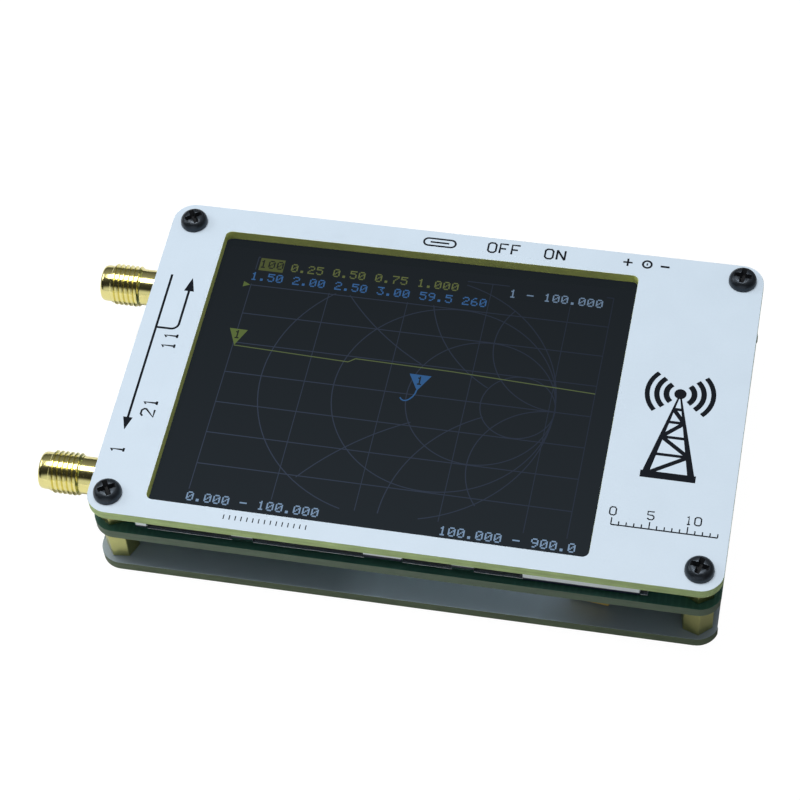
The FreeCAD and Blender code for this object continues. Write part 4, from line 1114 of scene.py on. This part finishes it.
# %% Make each digit once, then write with copies
def digit(pattern):
    """One digit of lit dots, with its lower left corner at the origin."""
    rows = pattern.split()
    start_piece()
    bpy.ops.mesh.primitive_grid_add(x_subdivisions=5, y_subdivisions=7, size=1)
    piece = bpy.context.object
    edit_all(piece)
    bpy.ops.transform.translate(value=(0.5, 0.5, 0))
    bpy.ops.transform.resize(value=(5 * dot_width, 7 * dot_height, 1), center_override=(0, 0, 0))
    leave_edit()

    def unlit(face):
        return rows[6 - int(face.center.y / dot_height)][int(face.center.x / dot_width)] == "0"

    delete_faces(piece, unlit)
    thicken(piece, line_height)
    return piece


digits = {character: digit(pattern) for character, pattern in dots.items()}


def number_row(text, left, low_edge, level):
    """Copies of the digits, side by side, as separate objects."""
    row = []
    for number, character in enumerate(text):
        if character in digits:
            piece = copy_of(digits[character])
            across, up = on_panel(left + number * digit_step, low_edge)
            piece.location = (across * MM, up * MM, level)
            row.append(piece)
    only(*row)
    apply_place()
    return row


# %% Write the readings
# Each row of text lies on a black field that hides the lines behind it.
fields = [bar(start, end, height * MM, trace_low) for start, end, height in
          (((-29.3, 19.05), (0.9, 19.05), 2.5), ((-30.0, 16.47), (2.7, 16.47), 2.6),
           ((6.9, 19.1), (20.7, 19.1), 2.4))]
drawn(fields, "display_text_fields", dark_glass)
for name, text, left, low_edge, finish in (
        ("display_reading_1", "0.25 0.50 0.75 1.000", -24.5, 18.1, yellow_light),
        ("display_reading_2", "1.50 2.00 2.50 3.00 59.5 260", -29.9, 15.85, blue_light),
        ("display_reading_3", "1 - 100.000", 7.1, 18.1, white_light),
        ("display_reading_4", "0.000 - 100.000", -29.6, -22.25, white_light),
        ("display_reading_5", "100.000 - 900.0", 4.9, -22.45, white_light)):
    drawn(number_row(text, left, low_edge, text_low), name, finish)
drawn([bar((-29.15, 18.85), (-25.6, 18.85), 2.25 * MM, text_low)], "display_channel_box", box_light)
drawn(number_row("100", -29.1, 18.2, text_low + line_height) + number_row("1", -29.8, 5.3, text_low)
      + number_row("1", -2.9, 1.2, text_low), "display_dark_digits", unlit_dots)
remove(*digits.values())

# %% [markdown]
# ## The printed legend
#
# Black legend ink stands on the white mask, a few hundredths of a millimetre high. Its letters
# are drawn with one stroke of even width, like the lines beside them, so a stroke is the one form
# to make: a poly curve with a round bevel, turned into a mesh and pressed flat. An ordinary font
# would have strokes of changing width and wouldn't match the lines.
#
# The legend keeps the arrows between the ports, OFF and ON, and plus and minus. Other places
# carry plain numbers, a plain outline of a port, and a generic sign of an antenna that radiates.

# %% Strokes of ink
ink_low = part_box("front_cover")[1].z - 0.004 * MM
ink_height = 0.024 * MM
stroke_width = 0.29


def stroke(points, width=stroke_width, closed=False):
    """One flat line of ink through points, all in millimetres."""
    curve = bpy.data.curves.new("stroke", "CURVE")
    curve.dimensions = "3D"
    curve.bevel_depth = width / 2 * MM
    curve.bevel_resolution = 2
    curve.use_fill_caps = True
    line = curve.splines.new("POLY")
    line.points.add(len(points) - 1)
    for point, (x, y) in zip(line.points, points):
        point.co = (x * MM, y * MM, 0, 1)
    line.use_cyclic_u = closed
    piece = bpy.data.objects.new("stroke", curve)
    bpy.context.scene.collection.objects.link(piece)
    only(piece)
    bpy.ops.object.convert(target="MESH")
    piece = bpy.context.object
    piece.scale.z = ink_height / (width * MM)
    piece.location.z = ink_low + ink_height / 2
    apply_place()
    return piece


def arc_points(centre, radius, start, end, steps=8):
    """Points along an arc, from one angle in degrees to another."""
    angles = [math.radians(start + (end - start) * number / steps) for number in range(steps + 1)]
    return [(centre[0] + radius * math.cos(angle), centre[1] + radius * math.sin(angle))
            for angle in angles]


def printed(pieces, name):
    """Join ink lines into one piece of the legend."""
    finished(pieces, finishes["legend_ink"], name, 40)


# %% Letters and digits as strokes, four units wide and six high
round_o = [(1, 0), (3, 0), (4, 1), (4, 5), (3, 6), (1, 6), (0, 5), (0, 1), (1, 0)]
letters = {
    "O": [round_o], "0": [round_o], "N": [[(0, 0), (0, 6)], [(0, 6), (4, 0)], [(4, 0), (4, 6)]],
    "F": [[(0, 0), (0, 6), (4, 6)], [(0, 3), (3, 3)]],
    "1": [[(1, 5), (2, 6), (2, 0)], [(1, 0), (3, 0)]],
    "2": [[(0, 5), (1, 6), (3, 6), (4, 5), (4, 4), (0, 0), (4, 0)]],
    "5": [[(4, 6), (0, 6), (0, 3.4), (3, 3.4), (4, 2.4), (4, 1), (3, 0), (1, 0), (0, 1)]],
}


def lettering(text, place, height, turned=False, step=1.45, width=stroke_width):
    """Words in strokes; place is the lower left corner of the first letter as it is read."""
    unit = height / 6
    pieces = []
    for number, character in enumerate(text):
        for line in letters[character]:
            points = []
            for x, y in line:
                along = (x + number * 4 * step) * unit
                up = y * unit
                points.append((place[0] - up, place[1] + along) if turned
                              else (place[0] + along, place[1] + up))
            pieces.append(stroke(points, width))
    return pieces


# %% Words and signs at the controls
printed(lettering("OFF", (3.45, 24.35), 1.7, step=1.5) + lettering("ON", (11.65, 24.35), 1.7, step=1.5),
        "legend_off_on")
port_sign = arc_points((-5.2, 25.0), 0.65, 90, 270) + arc_points((-1.9, 25.0), 0.65, -90, 90)
printed([stroke(port_sign, closed=True), stroke([(-4.9, 25.0), (-2.2, 25.0)])], "legend_port_sign")
plus = [stroke([(22.79, 25.3), (24.11, 25.3)], 0.28), stroke([(23.45, 24.64), (23.45, 25.96)], 0.28)]
press = [stroke(arc_points((26.2, 25.3), 0.62, 0, 360, steps=20), closed=True),
         stroke([(26.1, 25.3), (26.3, 25.3)], 0.4)]
minus = [stroke([(28.1, 25.2), (29.36, 25.2)], 0.33)]
printed(plus + press + minus, "legend_jog_signs")

# %% Arrows that say which port sends and which one receives
arrow_line = 0.34
send_x = -40.4
return_x = -37.3
branch_y = 4.3
bend = 1.0
corner = arc_points((return_x - bend, branch_y + bend), bend, -90, 0, steps=6)
printed([stroke([(send_x, 13.8), (send_x, -11.8)], arrow_line),
         stroke([(send_x, branch_y)] + corner + [(return_x, 11.6)], arrow_line),
         arrow_head((send_x, -13.5), (send_x, -11.4), 1.35, ink_low, ink_height),
         arrow_head((return_x, 13.6), (return_x, 11.2), 1.45, ink_low, ink_height)],
        "legend_arrows")
port_numbers = []
for text, place in (("11", (-37.0, 0.75)), ("21", (-37.0, -10.9)), ("1", (-39.6, -17.4))):
    port_numbers += lettering(text, place, 1.8, turned=True)
printed(port_numbers, "legend_port_numbers")

# %% [markdown]
# ### A generic sign and a scale
#
# The free space right of the window carries a bold black sign: a mast on a base, with waves that
# leave its tip on both sides. Below it runs a short rule with a mark for each millimetre, which
# circuit boards often carry.

# %% The antenna sign
mast_x = 33.6
mast_top = 3.6
leg_spread = 3.1
levels = (-10.0, -6.6, -3.7, -1.2, 1.0)
mast_foot = levels[0]


def on_leg(side, y):
    """The place on one leg of the mast at a height on the sign."""
    return mast_x + side * leg_spread * (mast_top - y) / (mast_top - mast_foot), y


sign = [stroke([on_leg(-1, mast_foot), (mast_x, mast_top), on_leg(1, mast_foot)], 0.95)]
for number, (low, high) in enumerate(zip(levels, levels[1:])):
    side = 1 if number % 2 else -1
    sign.append(stroke([on_leg(side, low), on_leg(-side, high)], 0.6))
    sign.append(stroke([on_leg(-1, high), on_leg(1, high)], 0.45))
base_half = leg_spread + 0.6
sign.append(stroke([(mast_x - base_half, mast_foot), (mast_x + base_half, mast_foot)], 1.1))
sign.append(stroke(arc_points((mast_x, mast_top), 0.42, 0, 360, steps=16), 0.85, closed=True))
for number, radius in enumerate((1.9, 3.2, 4.5)):
    for middle in (0, 180):
        spread = 50 - 3 * number
        points = arc_points((mast_x, mast_top), radius, middle - spread, middle + spread, steps=14)
        sign.append(stroke(points, 0.8 - 0.06 * number))
printed(sign, "legend_antenna_sign")

# %% The rule and a row of ticks
rule_left = 27.2
rule_low = -18.6
rule_marks = 14
rule = [stroke([(rule_left, rule_low), (rule_left + rule_marks, rule_low)], 0.2)]
for number in range(rule_marks + 1):
    length = 1.1 if number % 5 == 0 else 0.6
    x = rule_left + number
    rule.append(stroke([(x, rule_low), (x, rule_low + length)], 0.17))
for number in (0, 5, 10):
    rule += lettering(str(number), (rule_left + number - 0.4, rule_low + 1.5), 1.25, width=0.2)
printed(rule, "legend_rule")
ticks_left = -23.6
tick_step = 0.8
tick_xs = [ticks_left + tick_step * number for number in range(15)]
printed([stroke([(x, -25.6), (x, -24.9)], 0.14) for x in tick_xs], "legend_ticks")

# %% [markdown]
# ## Screws
#
# A pan-head screw is turned, and its cross recess is stamped. So a cylinder gets a wide rounded
# bevel on its top rim, and two crossed cutters that narrow downwards are taken out of it with
# Boolean modifiers. A last narrow bevel breaks the edges of the recess. The shank is a second
# cylinder with a pointed end. One screw is modelled, and each of the eight is a copy with its own
# mesh, turned as far as it happened to stop when it was tightened.

# %% One screw, head up, with the underside of its head at the origin
head_radius = 1.95 * MM
head_height = 1.4 * MM
head_round = 1.1 * MM
recess_reach = 1.45 * MM
recess_width = 0.8 * MM
recess_depth = 0.95 * MM
shank_radius = 0.97 * MM


def recess_cutter(turn):
    """One arm of the cross recess: a bar through the middle that narrows downwards."""
    cutter = block((0, 0, head_height - recess_depth / 2 + 0.1 * MM),
                   (2 * recess_reach, recess_width, recess_depth + 0.2 * MM), turn)
    pick_faces(cutter, lambda face: face.normal.z < -0.9)
    bpy.ops.transform.resize(value=(0.5, 0.5, 1))
    leave_edit()
    return cutter


def in_recess(face):
    """True for the walls of the recess, which lie inside the dome."""
    return (0.1 * MM < face.center.z < head_height - 0.24 * MM
            and math.hypot(face.center.x, face.center.y) < recess_reach + 0.05 * MM)


def screw(length):
    """One pan-head screw whose shank has this length."""
    head = cylinder(48, head_radius, 0, head_height)
    bevel_edges(head, lambda a, b: min(a.z, b.z) > 0.99 * head_height, head_round, 10)
    for turn in (0, math.pi / 2):
        boolean(head, recess_cutter(turn), "DIFFERENCE")
    soften(head, 0.06, angle=42)
    shank = cylinder(32, shank_radius, -length, 0)
    bevel_edges(shank, lambda a, b: max(a.z, b.z) < -0.99 * length, 0.25 * MM)
    whole = joined([head, shank])
    dress(whole, finishes["black_zinc"])
    # Painted shade: the recess walls get the near-black finish.
    second_finish(whole, finishes["recess_painted_shade"], in_recess)
    return whole


# %% Eight screws
screw_places = [(x, y) for x in (-hole_x, hole_x) for y in (-hole_y, hole_y)]
screw_turns = (29, 34, 77, 83)
# The top screws have settled to one side of their holes, by so many millimetres.
top_shifts = ((-0.28, -0.04), (0.12, -0.17), (-0.16, -0.02), (0.11, 0.3))
no_shifts = ((0, 0),) * 4
back_low, back_high = (corner.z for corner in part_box("back_cover"))
board_low, board_top = (corner.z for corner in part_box("main_board"))
cover_low, cover_top = (corner.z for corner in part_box("front_cover"))
for name, length, level, flip, shifts in (
        ("top_screws", 2.8 * MM, cover_top, 0, top_shifts),
        ("bottom_screws", 4.6 * MM, back_low, math.pi, no_shifts)):
    pattern = screw(length)
    screws = []
    for (x, y), degrees, (right, back) in zip(screw_places, screw_turns, shifts):
        one = copy_of(pattern)
        one.matrix_world = (Matrix.Translation((x + right * MM, y + back * MM, level))
                            @ Matrix.Rotation(flip, 4, "X")
                            @ Matrix.Rotation(math.radians(degrees), 4, "Z"))
        screws.append(one)
    remove(pattern)
    only(*screws)
    apply_place()
    group = joined(screws)
    settle(group, name + "_turned", stands_for=(name,), smooth=40)
    print(name, len(group.data.polygons), "faces")

# %% [markdown]
# ## Hex standoffs
#
# Standoffs are cut from hex bar on a lathe, and the lathe chamfers the corners of both end faces.
# A cylinder with six sides gives the bar. Its two end rims get a bevel, and the long edges a much
# finer one, as drawn bar has. The lower ones carry a stud through the board.


# %% Standoffs
across_flats = 4.0 * MM


def hex_bar(x, y, low, high, degrees):
    """A hex bar that is chamfered at both ends."""
    piece = cylinder(6, across_flats / math.sqrt(3), low, high, x, y, math.radians(degrees - 30))
    bevel_edges(piece, lambda a, b: abs(a.z - b.z) > (high - low) / 2, 0.09 * MM)
    bevel_edges(piece, lambda a, b: abs(a.z - b.z) < (high - low) / 10, 0.13 * MM)
    return piece


def stud(x, y):
    """The end of a lower standoff that comes up through the board, chamfered at its tip."""
    tip = board_top + 1.3 * MM
    pin = cylinder(32, shank_radius, board_low - 0.2 * MM, tip, x, y)
    bevel_edges(pin, lambda a, b: min(a.z, b.z) > tip - 0.01 * MM, 0.15 * MM)
    return pin


lower_bars = []
upper_bars = []
for (x, y), lower_turn, upper_turn in zip(screw_places, (6, 25, 42, 11), (26, 45, 34, 31)):
    lower_bars += [hex_bar(x, y, back_high, board_low, lower_turn), stud(x, y)]
    upper_bars.append(hex_bar(x, y, board_top, cover_low, upper_turn))
for name, bars in (("lower_standoffs", lower_bars), ("upper_standoffs", upper_bars)):
    finished(bars, finishes["turned_brass"], name + "_turned", 30, stands_for=(name,))

# %% [markdown]
# ## Coaxial ports
#
# Each port is one turned and plated body. Its barrel can be modelled as a lathe makes it: a ring
# of edges starts at the inner edge of the mouth, and each further step extrudes the ring, moves
# it along the axis and changes its size. Back at the first ring the doubles are merged, which
# closes the wall. The thread is a helix, made with a Screw modifier that sweeps one closed cross
# section. A Boolean with a chamfered cylinder then gives it the runouts that a cut thread has.


# %% Helper: turn a profile around the X axis
def turned(profile, axis_y, axis_z):
    """A solid of revolution from (x, radius) steps in millimetres that end where they start."""
    x0, r0 = profile[0]
    start_piece()
    bpy.ops.mesh.primitive_circle_add(vertices=64, radius=r0 * MM, location=(x0 * MM, axis_y, axis_z),
                                      rotation=(0, math.pi / 2, 0))
    piece = bpy.context.object
    apply_place()
    edit_all(piece)
    for (before, old), (x, radius) in zip(profile, profile[1:]):
        bpy.ops.mesh.extrude_edges_move(TRANSFORM_OT_translate={"value": ((x - before) * MM, 0, 0)})
        share = radius / old
        bpy.ops.transform.resize(value=(1, share, share), center_override=(x * MM, axis_y, axis_z))
    face_outwards(piece, doubles=0.002 * MM)
    return piece


# %% Helper: the thread
def thread(start_x, end_x, root, crest, pitch, axis_y, axis_z):
    """A right-hand thread ridge around the X axis, with runouts; sizes in millimetres."""
    half_crest = 0.05
    half_foot = pitch / 2 - half_crest - 0.03
    sunk = root - 0.15
    start_piece()
    bpy.ops.mesh.primitive_plane_add(size=1, rotation=(math.pi / 2, 0, 0))
    ridge = bpy.context.object
    apply_place()
    for point in ridge.data.vertices:
        side = 1 if point.co.x > 0 else -1
        x, radius = (half_crest, crest) if point.co.z > 0 else (half_foot, sunk)
        point.co = ((start_x - pitch / 2 + side * x) * MM, 0, radius * MM)
    delete_faces(ridge, lambda face: True, kind="ONLY_FACE")
    length = end_x - start_x + pitch
    steps = int(56 * length / pitch)
    apply_modifier(ridge, "SCREW", axis="X", angle=2 * math.pi * length / pitch,
                   screw_offset=length * MM, iterations=1, steps=steps, render_steps=steps,
                   use_merge_vertices=False)
    face_outwards(ridge, holes=4)
    ridge.location = (0, axis_y, axis_z)
    apply_place()
    over = crest + 0.005
    runout = crest - root
    envelope = turned(((start_x, root - 0.3), (start_x, root), (start_x + runout, over),
                       (end_x - runout, over), (end_x, root), (end_x, root - 0.3),
                       (start_x, root - 0.3)), axis_y, axis_z)
    boolean(ridge, envelope, "INTERSECT")
    return ridge


# %% Helpers: the flange and the legs
# The barrel is a little slimmer and shorter than a nominal port, as these plated ones are.
tip_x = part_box("port_1_shell")[0].x / MM + 0.68
plate_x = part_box("front_cover")[0].x / MM
flange_depth = 1.6
flange_back = plate_x + flange_depth
bore_radius = 2.05


def bored_flange(axis_y, axis_z):
    """The square flange behind the barrel, with its bore and rounded edges."""
    flange = block(((plate_x + flange_depth / 2) * MM, axis_y, axis_z),
                   (flange_depth * MM, 6.35 * MM, 6.35 * MM))
    bore = turned(((plate_x - 1, 1.0), (plate_x - 1, bore_radius), (flange_back + 1, bore_radius),
                   (flange_back + 1, 1.0), (plate_x - 1, 1.0)), axis_y, axis_z)
    delete_faces(bore, lambda face: abs(face.normal.x) < 0.5 and
                 math.hypot(face.center.y - axis_y, face.center.z - axis_z) < 1.5 * MM)
    face_outwards(bore, holes=0)
    boolean(flange, bore, "DIFFERENCE")
    soften(flange, 0.12, segments=3, angle=50)
    return flange


def port_leg(y, z):
    """One leg that grips the board's edge, and narrows towards its end."""
    leg = block(((flange_back + 1.95) * MM, y, z), (4.1 * MM, 1.0 * MM, 1.0 * MM))
    pick_faces(leg, lambda face: face.normal.x > 0.9)
    bpy.ops.transform.resize(value=(1, 0.8, 0.8))
    leave_edit()
    soften(leg, 0.08)
    return leg


# %% The ports' bodies
thread_pitch = 0.7056
thread_root = 2.70
thread_crest = 2.96
thread_start = 1.55
thread_end = 5.75
neck = 2.62
flange_place = plate_x + 0.1 - tip_x
barrel_profile = ((0.0, 2.26), (0.0, 2.34), (0.1, 2.46), (0.28, 2.55), (0.55, 2.60), (1.45, neck),
                  (thread_start, thread_root), (thread_end, thread_root), (thread_end + 0.1, neck),
                  (flange_place, neck), (flange_place, bore_radius), (1.22, bore_radius),
                  (1.22, 2.22), (0.12, 2.24), (0.0, 2.26))
for number in (1, 2):
    node = "port_%d_shell" % number
    low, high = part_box(node)
    axis_y = (low.y + high.y) / 2
    axis_z = (low.z + high.z) / 2
    parts = [turned([(tip_x + x, radius) for x, radius in barrel_profile], axis_y, axis_z),
             thread(tip_x + thread_start, tip_x + thread_end, thread_root, thread_crest,
                    thread_pitch, axis_y, axis_z),
             bored_flange(axis_y, axis_z)]
    for side in (-1, 1):
        for level in (board_top + 0.5 * MM, board_low - 0.5 * MM):
            parts.append(port_leg(axis_y + side * 2.675 * MM, level))
    finished(parts, finishes["gold_plate"], "port_%d_body" % number, 35,
             stands_for=(node,))

# %% [markdown]
# ## Battery
#
# The flat cell is a foil pouch. Its long edges are soft, and its side seams are folded up flat
# against it. A box gets wide bevels for the soft edges, and its two sides are inset and raised a
# little, which gives the folded seams. An amber film closes the end that carries the guard board,
# and its edges are tighter, because film is stiffer than the pouch. Two thin leads run from there
# to the main board, and they keep their CAD shapes. The whole battery sits a little askew, so its
# pieces are modelled straight, from its front corner, and then turned.

# %% The pouch
battery_corner = Vector((27.9, -23.8, 0)) * MM
battery_place = Matrix.Translation(battery_corner) @ Matrix.Rotation(math.radians(-6), 4, "Z")
pouch_low, pouch_high = 3.42 * MM, 7.43 * MM
pouch_start, pouch_end = -40.0 * MM, -4.6 * MM
pouch_side, pouch_far_side = 0.12 * MM, 29.88 * MM
seam = 0.22 * MM
pouch = block(((pouch_start + pouch_end) / 2, (pouch_side + pouch_far_side) / 2,
               (pouch_low + pouch_high) / 2),
              (pouch_end - pouch_start, pouch_far_side - pouch_side - 2 * seam, pouch_high - pouch_low))
bevel_edges(pouch, lambda a, b: abs(a.x - b.x) > 30 * MM, 0.85 * MM, 5)
bevel_edges(pouch, lambda a, b: max(a.x, b.x) < pouch_start + 0.01 * MM, 0.5 * MM, 4)
pick_faces(pouch, lambda face: abs(face.normal.y) > 0.99 and face.area > 20 * MM * MM)
bpy.ops.mesh.inset(thickness=0.28 * MM, depth=seam)
leave_edit()
pouch.matrix_world = battery_place
finished([pouch], finishes["pouch_foil"], "battery_pouch_soft", 40,
         stands_for=("battery_pouch",))

# %% The tape and the leads
tape_low, tape_high = 3.32 * MM, 7.53 * MM
tape_length, tape_width = 5.5 * MM, 30.0 * MM
tape = block((-tape_length / 2, tape_width / 2, (tape_low + tape_high) / 2),
             (tape_length, tape_width, tape_high - tape_low))
soften(tape, 0.3, segments=4)
tape.matrix_world = battery_place
finished([tape], finishes["amber_film"], "battery_tape_film", 50,
         stands_for=("battery_tape",))
for node, sleeve in (("battery_lead_red", "red_sleeve"), ("battery_lead_black", "black_sleeve")):
    finished([merged_copy(node)], finishes[sleeve], node + "_smooth", 60, stands_for=(node,))

# %% [markdown]
# ## Display ribbon and solder
#
# The display's ribbon is amber film with copper tracks inside. The tracks are a pattern in its
# material: stripes across the ribbon's width decide between film and film over copper. Where the
# ribbon lands on the board, each track ends in a small solder joint. A joint is a low box with
# round edges, made once and copied. Where the legs of the sockets and switches come up through the
# board, solder rises in low domes: flattened spheres, cut off just inside the board.

# %% The ribbon
track_pitch = 0.6
ribbon_finish, tree, shader = new_finish("ribbon_film", coat=0.3)
over_copper = stripes(tree, axes_of(tree, object_place(tree))["Y"], track_pitch, 0.27)
film = place_group(tree, fine_grain, Color=(0.34, 0.13, 0.02, 1), Size=0.3, Contrast=0.12,
                   Roughness=0.32, Roughness_Spread=0.08)
tracked = mix_colours(tree, over_copper, film["Color"], (0.62, 0.33, 0.09, 1))
feed(tree, tracked, shader.inputs["Base Color"])
feed(tree, film["Roughness"], shader.inputs["Roughness"])
bump_into(tree, shader, over_copper, 0.02)
ribbon = broken_edges(merged_copy("display_ribbon"), "display_ribbon", 0.02, ribbon_finish)
print(ribbon.name, len(ribbon.data.polygons), "faces")

# %% Solder joints
ribbon_low, ribbon_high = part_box("display_ribbon")
ribbon_middle = (ribbon_low.y + ribbon_high.y) / 2
joint_count = 28
joint = block((0, 0, 0), (1.0 * MM, 0.3 * MM, 0.16 * MM))
soften(joint, 0.06, segments=3)
joints = []
for number in range(joint_count):
    one = copy_of(joint)
    offset = (number - (joint_count - 1) / 2) * track_pitch * MM
    one.location = (ribbon_high.x - 0.3 * MM, ribbon_middle + offset, board_top + 0.15 * MM)
    joints.append(one)
remove(joint)
finished(joints, finishes["solder"], "ribbon_joints", 50)


# %% Solder domes
def dome(x, y, radius):
    """A low dome of solder on the board's upper face, sizes in millimetres."""
    start_piece()
    bpy.ops.mesh.primitive_uv_sphere_add(segments=24, ring_count=12, radius=radius * MM,
                                         location=(x * MM, y * MM, board_top))
    piece = bpy.context.object
    piece.scale.z = 0.24
    apply_place()
    edit_all(piece)
    bpy.ops.mesh.bisect(plane_co=(0, 0, board_top - 0.01 * MM), plane_no=(0, 0, 1), use_fill=True,
                        clear_inner=True)
    leave_edit()
    return piece


leg_places = ((-7.62, 25.5, 0.85), (1.02, 25.5, 0.85), (5.25, 25.1, 0.75), (7.4, 25.1, 0.6),
              (9.4, 25.1, 0.6), (11.4, 25.1, 0.6), (13.55, 25.1, 0.75))
finished([dome(*leg) for leg in leg_places], finishes["solder"], "leg_solder", 60)

# %% Finish
bpy.context.scene.view_settings.view_transform = "Standard"
start_piece()
